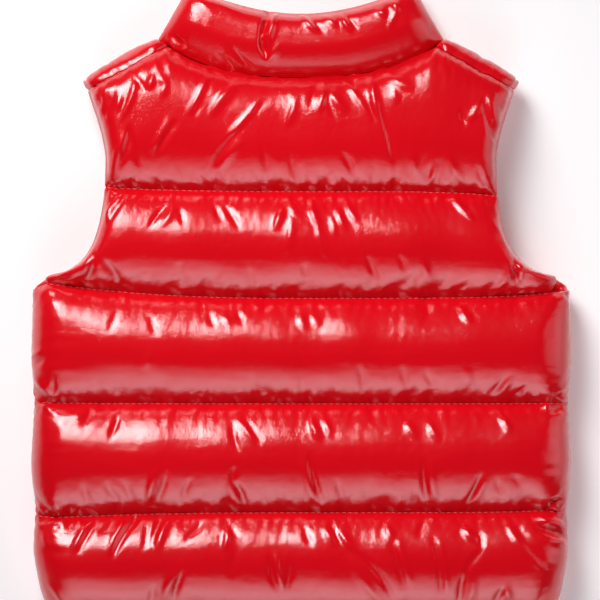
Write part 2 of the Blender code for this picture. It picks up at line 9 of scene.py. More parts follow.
import logging
from dataclasses import dataclass, field
from enum import Enum
from typing import NamedTuple

import bmesh
import bpy
import numpy as np
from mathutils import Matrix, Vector

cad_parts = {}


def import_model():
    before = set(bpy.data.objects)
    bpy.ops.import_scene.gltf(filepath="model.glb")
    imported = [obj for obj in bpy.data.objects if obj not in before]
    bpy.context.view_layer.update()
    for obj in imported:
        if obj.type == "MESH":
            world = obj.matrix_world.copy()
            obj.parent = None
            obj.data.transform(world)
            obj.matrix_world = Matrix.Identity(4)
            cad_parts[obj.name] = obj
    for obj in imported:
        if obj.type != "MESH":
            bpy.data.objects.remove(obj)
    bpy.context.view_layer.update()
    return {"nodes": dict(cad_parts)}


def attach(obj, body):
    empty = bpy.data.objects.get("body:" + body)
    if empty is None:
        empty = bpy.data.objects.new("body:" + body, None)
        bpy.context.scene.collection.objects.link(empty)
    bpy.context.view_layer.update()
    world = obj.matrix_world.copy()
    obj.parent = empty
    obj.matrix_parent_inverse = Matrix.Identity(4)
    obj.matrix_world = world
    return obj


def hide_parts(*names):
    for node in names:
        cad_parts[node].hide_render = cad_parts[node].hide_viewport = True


Array = np.ndarray
LOG = logging.getLogger("padded_vest")
VEST_BODY = "vest"


# ---------- tables of the cut
class Outline(NamedTuple):
    """Half width of the laid vest at a height above the hem."""

    up: float
    half_width: float


class Quilt(NamedTuple):
    """A stitched line: its height at each side seam, in the middle and at the side fold."""

    left: float
    middle: float
    right: float
    fold: float


class Crease(NamedTuple):
    """A trough or a ridge in the cloth, in millimetres.

    It starts at a place across the vest from its middle and up from its hem, and runs on
    by so much across and up. A positive depth is a trough and a negative one a ridge;
    width is half the breadth of its bottom or top.
    """

    start_across: float
    start_up: float
    run_across: float
    run_up: float
    width: float
    depth: float


def outline(*rows: tuple[float, float]) -> tuple[Outline, ...]:
    """A table of an outline from rows of a height and a half width."""
    return tuple(Outline(*row) for row in rows)


SIDE_FOLD = outline(
    (0.0000, 0.1720), (0.0040, 0.1825), (0.0140, 0.1918), (0.0295, 0.1955),
    (0.0535, 0.1985), (0.0785, 0.1975), (0.1185, 0.2000), (0.1608, 0.1983),
    (0.1985, 0.2000), (0.2385, 0.1997), (0.2444, 0.1993),
)
ARMHOLE = outline(
    (0.2530, 0.1885), (0.2593, 0.1721), (0.2668, 0.1617), (0.2742, 0.1561),
    (0.2816, 0.1524), (0.2965, 0.1480), (0.3188, 0.1446), (0.3411, 0.1439),
    (0.3560, 0.1461), (0.3708, 0.1502), (0.3857, 0.1554),
)
SIDE_SEAM = outline(
    (0.0000, 0.1650), (0.0140, 0.1755), (0.0295, 0.1790), (0.0785, 0.1815),
    (0.1608, 0.1820), (0.2200, 0.1825), (0.2415, 0.1845),
)
HEM = Quilt(0.0020, 0.0000, 0.0020, 0.0020)
QUILTS = (
    Quilt(0.0764, 0.0801, 0.0816, 0.0785),
    Quilt(0.1612, 0.1607, 0.1609, 0.1610),
    Quilt(0.2495, 0.2387, 0.2425, 0.2440),
    Quilt(0.3206, 0.3177, 0.3143, 0.3175),
)
BODY_BAFFLES = 3  # baffles below the armhole, where the fronts wrap round the sides


class Face(Enum):
    """Which face of a padded wall is meant."""

    OUTER = "outer"
    LINING = "lining"


# ---------- array helpers
def ease(value: Array) -> Array:
    """Smooth step: 3v^2 - 2v^3 of the value kept between 0 and 1."""
    kept = np.clip(value, 0.0, 1.0)
    return kept * kept * (3.0 - 2.0 * kept)


def smooth_rows(rows: tuple[Outline, ...], up: Array) -> Array:
    """Half width through the rows of a table.

    Cubic between neighbouring rows, with slopes that are the harmonic mean of the two
    neighbouring chords, so the curve never overshoots a row.

    Args:
        rows: rows in order of height.
        up: heights to read.

    Returns:
        Half widths at those heights.
    """
    x = np.array([row.up for row in rows])
    y = np.array([row.half_width for row in rows])
    chord = np.diff(y) / np.diff(x)
    before, after = chord[:-1], chord[1:]
    same_way = before * after > 0.0
    total = np.where(same_way, before + after, 1.0)
    inner = np.where(same_way, 2.0 * before * after / total, 0.0)
    slope = np.concatenate(([chord[0]], inner, [chord[-1]]))
    at = np.clip(up, x[0], x[-1])
    cell = np.clip(np.searchsorted(x, at, side="right") - 1, 0, len(x) - 2)
    step = x[cell + 1] - x[cell]
    t = (at - x[cell]) / step
    return (
        y[cell] * (1.0 + 2.0 * t) * (1.0 - t) ** 2
        + y[cell + 1] * t**2 * (3.0 - 2.0 * t)
        + slope[cell] * step * t * (1.0 - t) ** 2
        + slope[cell + 1] * step * t**2 * (t - 1.0)
    )


def resample(grid: Array, rows: int, columns: int) -> Array:
    """A grid of points read at more places, by a Catmull-Rom curve along each direction.

    Args:
        grid: rows x columns x 3 points.
        rows: points wanted down the grid.
        columns: points wanted across it.

    Returns:
        rows x columns x 3 points through the same surface.
    """
    down = catmull_weights(grid.shape[0], rows)
    over = catmull_weights(grid.shape[1], columns)
    return np.einsum("ri,cj,ijk->rck", down, over, grid, optimize=True)


def catmull_weights(known: int, wanted: int) -> Array:
    """Weights of known evenly spaced points for each wanted one, by Catmull-Rom.

    Args:
        known: how many points are known.
        wanted: how many are wanted.

    Returns:
        wanted x known weights.
    """
    at = np.linspace(0.0, known - 1.0, wanted)
    cell = np.clip(np.floor(at).astype(int), 0, known - 2)
    t = at - cell
    parts = (
        -0.5 * t + t**2 - 0.5 * t**3,
        1.0 - 2.5 * t**2 + 1.5 * t**3,
        0.5 * t + 2.0 * t**2 - 1.5 * t**3,
        -0.5 * t**2 + 0.5 * t**3,
    )
    weights = np.zeros((wanted, known))
    for offset, part in zip((-1, 0, 1, 2), parts):
        np.add.at(weights, (np.arange(wanted), np.clip(cell + offset, 0, known - 1)), part)
    return weights


def grid_normals(grid: Array) -> Array:
    """Unit normals of a grid: the cross product of its column and row differences.

    Args:
        grid: rows x columns x 3 points.

    Returns:
        One normal a point.
    """
    across = np.gradient(grid, axis=1)
    down = np.gradient(grid, axis=0)
    normal = np.cross(across, down)
    size = np.linalg.norm(normal, axis=2, keepdims=True)
    return normal / np.maximum(size, 1e-12)


# ---------- form of the vest
@dataclass(frozen=True)
class VestForm:
    """The laid vest's own formulas: where each seam lies and how full each wall is."""

    length: float = 0.4712
    crest: float = 0.0275
    crest_inside: float = 0.0010
    baffle_power: float = 2.3
    fill_power: float = 0.75
    edge_wall: float = 0.0026
    quilt_spread: float = 0.0095
    hem_spread: float = 0.0060
    neck_spread: float = 0.0062
    side_round: float = 0.0120
    side_round_crest: float = 0.0160
    side_wall_crest: float = 0.0125
    lining_round: float = 0.0015
    body_lay: float = 0.0260
    neck_lay: float = 0.0150
    hem_lay: float = 0.0180
    neck_fall: tuple[float, float] = (0.3350, 0.4400)
    hem_fall: float = 0.0450
    neck_point: tuple[float, float] = (0.1070, 0.4310)
    shoulder_tip: tuple[float, float] = (0.1620, 0.4005)
    back_neck_up: float = 0.4028
    back_neck_power: float = 2.6
    front_neck_up: float = 0.3635
    front_neck_power: float = 2.2
    shoulder_round: float = 0.0090
    shoulder_seam_in: float = 0.0085
    shoulder_bulge: float = 0.0024
    shoulder_puff: float = 0.0010
    shoulder_dip: float = 0.0010
    yoke_power: float = 4.2
    yoke_level: float = 0.80
    neck_lift: float = 0.16
    seam_lift: float = 0.50
    lift_before: float = 0.012
    lift_run: float = 0.014
    back_slant: float = 0.50
    front_slant: float = 0.118
    edge_bend: float = 5.0
    left_bend: float = 2.4
    rim_reach: float = 0.0135
    zip_reach: float = 0.0150
    zip_edge: float = 0.0085

    def lay(self, up: Array) -> Array:
        """Height of the layer between back and fronts, sinking to the collar and the hem.

        Args:
            up: heights above the hem, in the plane of the vest.

        Returns:
            Heights above the surface it lies on.
        """
        start, end = self.neck_fall
        to_neck = ease((up - start) / (end - start))
        to_hem = ease((self.hem_fall - up) / self.hem_fall)
        return (
            self.body_lay
            - (self.body_lay - self.neck_lay) * to_neck
            - (self.body_lay - self.hem_lay) * to_hem
        )

    def fill(
        self, step: Array, upper: float = baffle_power, lower: float = baffle_power
    ) -> Array:
        """Fullness between two stitched lines: (1 - |2t - 1|^p)^fill_power, t the step.

        It is 0 on both lines and 1 half way; p is upper in the upper half, else lower.
        """
        power = np.where(step > 0.5, upper, lower)
        return (1.0 - np.abs(2.0 * step - 1.0) ** power) ** self.fill_power

    def fill_of(self, baffle: int, step: Array) -> Array:
        """Fullness of a baffle counted from the hem; the yoke rises fast from its top."""
        in_yoke = baffle == len(QUILTS)
        return self.fill(step, self.yoke_power if in_yoke else self.baffle_power)

    def lifted(self, across: Array) -> Array:
        """Fullness left at the yoke's own top edge: more along the shoulder than the neck."""
        return self.neck_lift + (self.seam_lift - self.neck_lift) * ease(
            (np.abs(across) - self.neck_point[0] + self.lift_before) / self.lift_run
        )

    def outer(self, spread: Array, fullness: Array) -> Array:
        """Outer cloth above the mid layer: from the stitched wall to the crest."""
        return (spread + self.edge_wall / 2) * (1.0 - fullness) + self.crest * fullness

    def inner(self, spread: Array, fullness: Array) -> Array:
        """Lining above the mid layer: from the stitched wall to the collapsed hollow."""
        return (spread - self.edge_wall / 2) * (1.0 - fullness) + self.crest_inside * fullness

    def spread(self, baffle: int, step: Array) -> Array:
        """Distance of the stitched walls from the mid layer beside a row."""
        stops = (self.hem_spread,) + (self.quilt_spread,) * len(QUILTS) + (self.neck_spread,)
        return stops[baffle] + (stops[baffle + 1] - stops[baffle]) * step

    def rounding(self, distance: Array, reach: float) -> Array:
        """Quarter circle from 0 on an edge to 1 at its reach."""
        past = 1.0 - np.clip(distance / reach, 0.0, 1.0)
        return np.sqrt(np.maximum(1.0 - past**2, 0.0))

    def side_profile(self, across: Array, up: Array, fullness: Array) -> Array:
        """Share of the height left near the side fold: a quarter ellipse in section.

        Args:
            across: places across the vest.
            up: heights above the hem.
            fullness: 0 on a stitched line to 1 on a crest.

        Returns:
            Shares from 0 on the fold to 1.
        """
        fold = smooth_rows(SIDE_FOLD, up)
        radius = self.side_round + self.side_round_crest * fullness
        past = np.clip((np.abs(across) - (fold - radius)) / radius, 0.0, 1.0)
        return np.sqrt(1.0 - past**2)

    def neck(self, across: Array, middle_up: float, power: float) -> Array:
        """Neck seam: a power curve from its middle up to the neck point."""
        share = np.minimum(np.abs(across) / self.neck_point[0], 1.0)
        return middle_up + (self.neck_point[1] - middle_up) * share**power

    def shoulder(self, share: Array, inward: Array, slant: float) -> Array:
        """Points a distance inside the fold over the shoulder.

        Args:
            share: share of the way from the neck point to the tip.
            inward: distance from the fold.
            slant: how far the points lean to the neck, as a slope.

        Returns:
            Places across and up.
        """
        start, tip = np.array(self.neck_point), np.array(self.shoulder_tip)
        run = tip - start
        to_tip = run / np.linalg.norm(run)
        outward = np.array([-to_tip[1], to_tip[0]])
        share = np.asarray(share, float)[..., None]
        inward = np.asarray(inward, float)[..., None]
        return start + run * share - outward * inward - to_tip * slant * inward * (1.0 - share)

    def top_edge(self, across: Array, inward: float, slant: float) -> Array:
        """Top of a panel: its neck seam, then the line along the shoulder to the tip.

        Args:
            across: places across the vest.
            inward: distance of the line from the fold over the shoulder.
            slant: that of the back or of the fronts.

        Returns:
            Heights above the hem.
        """
        middle_up, power = (
            (self.back_neck_up, self.back_neck_power)
            if slant == self.back_slant
            else (self.front_neck_up, self.front_neck_power)
        )
        corner, tip = self.shoulder(np.array([0.0, 1.0]), np.full(2, inward), slant)
        distance = np.abs(across)
        line = np.interp(distance, (corner[0], tip[0]), (corner[1], tip[1]))
        neck = self.neck(across, middle_up, power)
        return np.where(distance < corner[0], np.minimum(neck, line), line)

    def rim(self, table: tuple[Outline, ...], inward: float, slant: float) -> tuple:
        """A side outline that ends at the tip of the panel's own top edge."""
        tip = self.shoulder(np.array(1.0), np.array(inward), slant)
        return table + ARMHOLE + (Outline(float(tip[1]), float(tip[0])),)


FORM = VestForm()
DENSE = 200  # points that an outline or a ring is read at before they are spaced evenly


def edge_points(
    table: tuple[Outline, ...], low: float, high: float, steps: Array
) -> tuple[Array, Array]:
    """Points on an outline between two heights, spaced evenly by the length along it.

    Args:
        table: the outline.
        low: height of its first point.
        high: height of its last point.
        steps: shares of the length between them.

    Returns:
        Half widths and heights.
    """
    up = np.linspace(low, high, DENSE)
    across = smooth_rows(table, up)
    run = np.concatenate(([0.0], np.cumsum(np.hypot(np.diff(across), np.diff(up)))))
    return np.interp(steps * run[-1], run, across), np.interp(steps * run[-1], run, up)


def run_along(grid: Array) -> Array:
    """Length from the start of each row of a grid of points to each point of it."""
    step = np.linalg.norm(np.diff(grid, axis=1), axis=2)
    return np.concatenate((np.zeros((len(grid), 1)), np.cumsum(step, axis=1)), axis=1)


def even_columns(section: Array, columns: int) -> Array:
    """Each dense section read at evenly spaced lengths along itself.

    Args:
        section: rows x dense x 3 points.
        columns: cells wanted across.

    Returns:
        rows x (columns + 1) x 3 points.
    """
    read = [
        np.stack(
            [np.interp(np.linspace(0.0, r[-1], columns + 1), r, s[:, k]) for k in range(3)],
            axis=1,
        )
        for r, s in zip(run_along(section), section)
    ]
    return np.array(read)


# ---------- grids of the panels
@dataclass(frozen=True)
class PanelRows:
    """How many cells a panel has down each baffle, and how its rows are numbered."""

    baffle_cells: int = 28
    yoke_cells: int = 34

    def blocks(self) -> list[tuple[int, Array]]:
        """Each baffle from the hem with its steps, the last one with its top row too."""
        last = len(QUILTS)
        made = [
            (baffle, np.arange(self.baffle_cells) / self.baffle_cells)
            for baffle in range(last)
        ]
        return made + [(last, np.arange(self.yoke_cells + 1) / self.yoke_cells)]

    def quilt_row(self, number: int) -> int:
        """Row of a stitched line, counted from the hem's 0."""
        return number * self.baffle_cells

    @property
    def fold_rows(self) -> int:
        """Rows of cells below the armhole, where the fronts fold round the side."""
        return BODY_BAFFLES * self.baffle_cells

    @property
    def cells(self) -> int:
        """All rows of cells."""
        return len(QUILTS) * self.baffle_cells + self.yoke_cells


@dataclass(frozen=True)
class BackGrid:
    """Grid of the back panel: outer cloth or lining, as rows x columns x 3 points."""

    rows: PanelRows = PanelRows()
    columns: int = 126

    def surface(self, face: Face) -> Array:
        """Each row runs from the left edge to the right one, bent to meet its ends.

        Height is the lay of the mid layer plus the wall's height there: the fullness
        between stitched lines, rounded off at the armhole or at the side fold. The yoke's
        crest stays nearly level while the lay below it sinks to the collar.

        Args:
            face: the outer cloth or the lining.

        Returns:
            Points of the whole panel.
        """
        form = FORM
        lining = face is Face.LINING
        inward = form.shoulder_seam_in
        rim = form.rim(SIDE_SEAM, inward, form.back_slant)
        share = np.linspace(-1.0, 1.0, self.columns + 1)
        tip = form.shoulder(np.array(1.0), np.array(inward), form.back_slant)
        lines = [self.stitched(line, share) for line in (HEM,) + QUILTS]
        lines.append(form.top_edge(share * tip[0], inward, form.back_slant))
        blocks = []
        for baffle, steps in self.rows.blocks():
            low, high = lines[baffle], lines[baffle + 1]
            left_x, left_up = edge_points(rim, low[0], high[0], steps)
            right_x, right_up = edge_points(rim, low[-1], high[-1], steps)
            straight = low + (high - low) * steps[:, None]
            is_left = share < 0.0
            bend = np.where(
                is_left,
                (left_up - straight[:, 0])[:, None],
                (right_up - straight[:, -1])[:, None],
            )
            width = np.where(is_left, left_x[:, None], right_x[:, None])
            across = share * width
            up = straight + bend * np.abs(share) ** form.edge_bend
            fullness = form.fill_of(baffle, steps)[:, None] * np.ones_like(across)
            spread = form.spread(baffle, steps)[:, None]
            if baffle == len(QUILTS) and not lining:
                late = np.where(steps > 0.5, 1.0, 0.0)[:, None]
                fullness = fullness + (1.0 - fullness) * late * form.lifted(across)
            if baffle < BODY_BAFFLES:
                profile = form.side_profile(across, up, fullness)
            else:
                edge = form.rounding(width - np.abs(across), form.rim_reach)
                fullness = fullness * edge
                profile = 1.0
            height = (
                form.inner(spread, fullness)
                if lining
                else form.outer(spread, fullness) * profile
            )
            if baffle == len(QUILTS) and not lining:
                height = height + form.yoke_level * (form.body_lay - form.lay(up)) * fullness
            blocks.append(np.stack([across, up, form.lay(up) + height], axis=2))
        return np.concatenate(blocks)

    @staticmethod
    def stitched(line: Quilt, share: Array) -> Array:
        """Height of a stitched line across the back: middle + (end - middle) * |s|^p."""
        end = np.where(share < 0.0, line.left, line.right)
        power = np.where(share < 0.0, FORM.left_bend, FORM.edge_bend)
        return line.middle + (end - line.middle) * np.abs(share) ** power


@dataclass(frozen=True)
class FrontGrid:
    """Grid of a front: zip edge, underside, side fold, and on top as far as the side seam."""

    side: int
    rows: PanelRows = PanelRows()
    under_columns: int = 70
    top_columns: int = 10
    shoulder_cells: int = 8
    dense: int = 240
    seam_turn: float = 0.94
    least_bulge: float = 0.22
    dip_from: float = 0.6

    @property
    def columns(self) -> int:
        """Columns of cells from the zip to the side seam."""
        return self.under_columns + self.top_columns

    @property
    def shape(self) -> tuple[int, int]:
        """Rows and columns of points, with the fold over the shoulder."""
        return self.rows.cells + self.shoulder_cells + 1, self.columns + 1

    def surface(self, face: Face) -> Array:
        """Sections from the zip outwards, evenly spaced along themselves.

        Below the armhole a section goes out under the vest, round the side fold on a
        quarter ellipse below and one above, and ends at the side seam. Above it, the
        section ends at the armhole, where the wall rounds off. The rows past the top
        carry the cloth over the shoulder on a half ellipse to the shoulder seam.

        Args:
            face: the outer cloth or the lining.

        Returns:
            Points of the whole front, on its own side of the zip.
        """
        form = FORM
        lining = face is Face.LINING
        rim = form.rim(SIDE_FOLD, form.shoulder_round, form.front_slant)
        share = np.sin(np.linspace(0.0, 1.0, self.dense) * np.pi / 2)
        tip = form.shoulder(np.array(1.0), np.array(form.shoulder_round), form.front_slant)
        lines = [
            line.middle + (line.fold - line.middle) * share**form.edge_bend
            for line in (HEM,) + QUILTS
        ]
        top_across = form.zip_edge + (tip[0] - form.zip_edge) * share
        lines.append(form.top_edge(top_across, form.shoulder_round, form.front_slant))
        under, over = [], []
        for baffle, steps in self.rows.blocks():
            low, high = lines[baffle], lines[baffle + 1]
            edge_x, edge_up = edge_points(rim, low[-1], high[-1], steps)
            straight = low + (high - low) * steps[:, None]
            up = straight + (edge_up - straight[:, -1])[:, None] * share**form.edge_bend
            folded = np.full(len(steps), baffle < BODY_BAFFLES)
            folded[0] |= baffle == BODY_BAFFLES
            below = self.under_side(baffle, steps, edge_x, up, share, lining, folded)
            under.append(below)
            over.append(self.over_side(baffle, steps, edge_x, edge_up, lining))
        under_rows = even_columns(np.concatenate(under), self.under_columns)
        over_rows = even_columns(np.concatenate(over), self.top_columns)
        grid = np.zeros(self.shape + (3,))
        top, fold = self.rows.cells, self.rows.fold_rows
        grid[: top + 1, : self.under_columns + 1] = under_rows
        grid[: fold + 1, self.under_columns :] = over_rows[: fold + 1]
        past = np.arange(1, len(grid) - fold)[:, None, None]
        slope = grid[fold, self.under_columns + 1 :] - grid[fold - 1, self.under_columns + 1 :]
        beyond = grid[fold, self.under_columns + 1 :] + past * slope
        grid[fold + 1 :, self.under_columns + 1 :] = beyond
        grid[top + 1 :, : self.under_columns + 1] = self.shoulder_rows(grid[top], lining)
        grid[:, :, 0] *= self.side
        return grid

    def under_side(
        self,
        baffle: int,
        steps: Array,
        edge_x: Array,
        up: Array,
        share: Array,
        lining: bool,
        folded: Array,
    ) -> Array:
        """Dense sections below the mid layer, from the zip to the fold or the armhole.

        Args:
            baffle: counted from the hem.
            steps: each row's step through the baffle.
            edge_x: half width of the vest at each row.
            up: heights above the hem, rows x dense.
            share: places from the zip to the edge, 0 to 1.
            lining: whether it is the lining.
            folded: rows that go round the side fold.

        Returns:
            rows x dense x 3 points.
        """
        form = FORM
        fullness = form.fill_of(baffle, steps)[:, None]
        spread = form.spread(baffle, steps)[:, None]
        edge = edge_x[:, None]
        if lining:
            edge = np.where(
                folded[:, None], edge - form.edge_wall - form.side_wall_crest * fullness, edge
            )
        across = form.zip_edge + (edge - form.zip_edge) * share
        full = fullness * form.rounding(across - form.zip_edge, form.zip_reach)
        open_full = full * form.rounding(edge - across, form.rim_reach)
        full = np.where(folded[:, None], full, open_full)
        height = form.inner(spread, full) if lining else form.outer(spread, full)
        radius = form.side_round + form.side_round_crest * fullness
        if lining:
            radius = np.maximum(form.inner(spread, fullness), form.lining_round)
        past = np.clip((across - (edge - radius)) / radius, 0.0, 1.0)
        profile = np.where(folded[:, None], np.sqrt(1.0 - past**2), 1.0)
        level = form.lay(up) - height * profile
        if not lining:
            level = np.maximum(level, 0.0)
        return np.stack([across, up, level], axis=2)

    def over_side(
        self,
        baffle: int,
        steps: Array,
        edge_x: Array,
        edge_up: Array,
        lining: bool,
    ) -> Array:
        """Dense sections on top, from the fold back to the side seam.

        Args:
            baffle: counted from the hem.
            steps: each row's step through the baffle.
            edge_x: half width of the vest at each row.
            edge_up: height of each row on the fold.
            lining: whether it is the lining.

        Returns:
            rows x dense x 3 points.
        """
        form = FORM
        quilt_ends = [line.left if self.side < 0 else line.right for line in (HEM,) + QUILTS]
        high = quilt_ends[min(baffle + 1, len(QUILTS))]
        seam_up = quilt_ends[baffle] + (high - quilt_ends[baffle]) * steps
        seam_table = SIDE_SEAM + ARMHOLE
        seam_x = smooth_rows(seam_table, seam_up)
        fullness = form.fill(steps)[:, None]
        spread = form.spread(baffle, steps)[:, None]
        edge = edge_x[:, None]
        height = form.outer(spread, fullness)
        radius = form.side_round + form.side_round_crest * fullness
        if lining:
            edge = edge - form.edge_wall - form.side_wall_crest * fullness
            height = form.inner(spread, fullness)
            radius = np.maximum(height, form.lining_round)
        turn = np.linspace(0.0, 1.0, self.dense)[None, :]
        across = seam_x[:, None] + (edge - seam_x[:, None]) * np.cos(turn * np.pi / 2)
        up = edge_up[:, None] + (seam_up - edge_up)[:, None] * turn
        past = np.clip((across - (edge - radius)) / radius, 0.0, 1.0)
        level = form.lay(up) + height * np.sqrt(1.0 - past**2)
        return np.stack([across, up, level], axis=2)

    @staticmethod
    def corners() -> Array:
        """Neck point and tip of the fold over the shoulder, across and up."""
        inward = np.full(2, FORM.shoulder_round)
        return FORM.shoulder(np.array([0.0, 1.0]), inward, FORM.front_slant)

    def shoulder_rows(self, top_row: Array, lining: bool) -> Array:
        """Rows over the shoulder: a half ellipse about its fold, for the shoulder's columns.

        On top it rises with the yoke's own edge by a quarter sine, is puffed by a half
        sine, and dips to the seam, where thread holds it. The fold bulges by a half sine
        to the power 0.8, from least_bulge on its ends to 1, and less by the cube of the
        turn towards the seam.

        Args:
            top_row: points of the row that the fold starts from.
            lining: whether it is the lining.

        Returns:
            shoulder_cells x (under_columns + 1) x 3 points.
        """
        form = FORM
        across = top_row[: self.under_columns + 1, 0]
        corner = self.corners()
        share = np.clip((across - corner[0, 0]) / (corner[1, 0] - corner[0, 0]), 0.0, 1.0)
        turn = np.linspace(-1.0, self.seam_turn, self.shoulder_cells + 1)[1:, None] * np.pi / 2
        past = np.clip(turn / (self.seam_turn * np.pi / 2), 0.0, 1.0)
        radius = form.shoulder_round - (form.edge_wall if lining else 0.0)
        height = form.neck_spread + form.edge_wall / 2 * (-1.0 if lining else 1.0)
        most = 1.0 - self.least_bulge
        bulge = form.shoulder_bulge * (self.least_bulge + most * np.sin(np.pi * share) ** 0.8)
        bulge = bulge * (1.0 - past**3)
        inward = form.shoulder_round - (radius + bulge) * np.cos(turn)
        lean = np.where(turn + 0.0 * share < 0.0, form.front_slant, form.back_slant)
        start, tip = np.array(form.neck_point), np.array(form.shoulder_tip)
        to_tip = (tip - start) / np.linalg.norm(tip - start)
        outward = np.array([-to_tip[1], to_tip[0]])
        along = (share * np.linalg.norm(tip - start) - lean * inward * (1.0 - share))[..., None]
        place = start + to_tip * along - outward * inward[..., None]
        level = form.lay(place[..., 1]) + height * np.sin(turn)
        if not lining:
            length = np.linalg.norm(tip - start)
            rise = (form.crest - height) + form.yoke_level * (
                form.body_lay - form.lay(place[..., 1])
            )
            lift = form.lifted(place[..., 0]) * rise
            lift = lift * form.rounding((1.0 - share) * length, form.rim_reach)
            level = level + lift * np.sin(past * np.pi / 2)
            level = level + form.shoulder_puff * np.sin(np.pi * past)
            dip = ease((past - self.dip_from) / (1.0 - self.dip_from))
            level = level - form.shoulder_dip * dip
        return np.concatenate([place, level[..., None]], axis=2)

    def keep(self, finer: float = 1.0) -> Array:
        """Which cells of the grid are cloth.

        Args:
            finer: how many times as fine as this grid the wanted one is.

        Returns:
            One truth a cell.
        """
        fold_rows, cells, under, neck, last_row, last_column = (
            int(count * finer)
            for count in (
                self.rows.fold_rows,
                self.rows.cells,
                self.under_columns,
                self.neck_column(),
                self.shape[0] - 1,
                self.shape[1] - 1,
            )
        )
        kept = np.zeros((last_row, last_column), bool)
        kept[:fold_rows] = True
        kept[fold_rows:cells, :under] = True
        kept[cells:, neck:under] = True
        return kept

    def neck_column(self) -> int:
        """Even column of points nearest the corner between neck and shoulder."""
        neck, tip = self.corners()[:, 0] - FORM.zip_edge
        share = neck / tip
        return 2 * int(round(share * self.under_columns / 2))


@dataclass(frozen=True)
class CollarGrid:
    """Grid of the collar: a flattened ring, from the left of the zip round to its right."""

    rise_cells: int = 18
    back_columns: int = 76
    front_columns: int = 36
    fill: float = 0.0165
    inside: float = 0.0012
    top_spread: float = 0.0024
    round: float = 0.0200
    upper_power: float = 5.0
    lower_power: float = 1.4
    corner_across: float = 0.0840
    back_up: float = 0.4498
    back_power: float = 1.9
    front_up: float = 0.4095
    front_power: float = 1.7
    least_round: float = 0.0010
    pinch_reach: float = 0.0120
    pinched: float = 0.45

    def surface(self, face: Face) -> Array:
        """Every row is one height of the collar, carried round the flattened ring.

        Args:
            face: the outer cloth or the lining.

        Returns:
            rows x columns x 3 points.
        """
        form = FORM
        lining = face is Face.LINING
        rise = np.linspace(0.0, 1.0, self.rise_cells + 1)[:, None]
        half = form.neck_point[0] + (self.corner_across - form.neck_point[0]) * rise
        fullness = form.fill(rise, self.upper_power, self.lower_power)
        spread = form.neck_spread + (self.top_spread - form.neck_spread) * rise
        inside = (spread - form.edge_wall / 2) * (1.0 - fullness) + self.inside * fullness
        wall = form.edge_wall + self.fill * fullness
        reach = half - (wall if lining else 0.0)
        radius = np.full_like(half, self.round)
        if lining:
            radius = self.round - np.minimum(wall, self.round - self.least_round)
        height = inside + (0.0 if lining else wall)
        turn = np.sin(np.linspace(0.0, 1.0, DENSE) * np.pi / 2)[None, :]
        over = self.section(reach, radius, height, turn, rise, half, on_back=True)
        under = self.section(reach, radius, -height, turn, rise, half, on_back=False)
        back_half = even_columns(over, self.back_columns)
        front_half = even_columns(under, self.front_columns)
        right = np.concatenate((back_half[:, 1:], front_half[:, -2::-1]), axis=1)
        left = right[:, ::-1] * (-1.0, 1.0, 1.0)
        grid = np.concatenate((left, back_half[:, :1], right), axis=1)
        if not lining:
            grid[:, :, 2] = np.maximum(grid[:, :, 2], 0.0)
        return grid

    def section(
        self,
        reach: Array,
        radius: Array,
        height: Array,
        turn: Array,
        rise: Array,
        half: Array,
        on_back: bool,
    ) -> Array:
        """Half a ring, from its middle or the zip out to the side fold.

        Args:
            reach: how far out each row goes.
            radius: radius of its fold.
            height: its height above the mid layer, negative below it.
            turn: places from the middle or the zip to the fold, 0 to 1.
            rise: each row's share of the collar's height.
            half: half width of the outer cloth at each row.
            on_back: whether it is the back half, else a front one.

        Returns:
            rows x dense x 3 points.
        """
        form = FORM
        start = 0.0 if on_back else form.zip_edge
        across = start + (reach - start) * turn
        past = np.clip((across - (reach - radius)) / radius, 0.0, 1.0)
        lift = height * np.sqrt(1.0 - past**2)
        share = across / half
        base_x = share * form.neck_point[0]
        corner_up = form.length
        if on_back:
            base = form.neck(base_x, form.back_neck_up, form.back_neck_power)
            top = self.back_up + (corner_up - self.back_up) * share**self.back_power
        else:
            base = form.neck(base_x, form.front_neck_up, form.front_neck_power)
            top = self.front_up + (corner_up - self.front_up) * share**self.front_power
            pinch = form.rounding(across - form.zip_edge, self.pinch_reach)
            lift = lift * (self.pinched + (1.0 - self.pinched) * pinch)
        up = base + (top - base) * rise
        return np.stack([across, up, form.lay(up) + lift], axis=2)


# ---------- meshes
RIM_SHARE = 0.35  # how far a rim rounds outwards, as a share of its thickness
RIM_MOST = 0.0012  # and at most


def link(mesh: bpy.types.Mesh, name: str) -> bpy.types.Object:
    """A new object at the origin that holds a mesh."""
    made = bpy.data.objects.new(name, mesh)
    bpy.context.scene.collection.objects.link(made)
    return made


def mesh_of(name: str, points: Array, faces: Array) -> bpy.types.Mesh:
    """A smooth mesh from points and equal-sized faces.

    Args:
        name: mesh name.
        points: count x 3 places.
        faces: point numbers, one row a face.

    Returns:
        The mesh.
    """
    mesh = bpy.data.meshes.new(name)
    size = faces.shape[1]
    mesh.vertices.add(len(points))
    mesh.vertices.foreach_set("co", np.ascontiguousarray(points, np.float32).ravel())
    mesh.loops.add(faces.size)
    mesh.loops.foreach_set("vertex_index", faces.astype(np.int32).ravel())
    mesh.polygons.add(len(faces))
    mesh.polygons.foreach_set("loop_start", (np.arange(len(faces)) * size).astype(np.int32))
    mesh.update(calc_edges=True)
    mesh.validate()
    mesh.shade_smooth()
    return mesh


def grid_cells(keep: Array) -> Array:
    """Corner numbers of every kept cell of a grid, wound with the grid's normal.

    Args:
        keep: which cells are wanted.

    Returns:
        Four point numbers a cell.
    """
    rows, columns = np.nonzero(keep)
    width = keep.shape[1] + 1
    first = rows * width + columns
    return np.stack([first, first + 1, first + width + 1, first + width], axis=1)


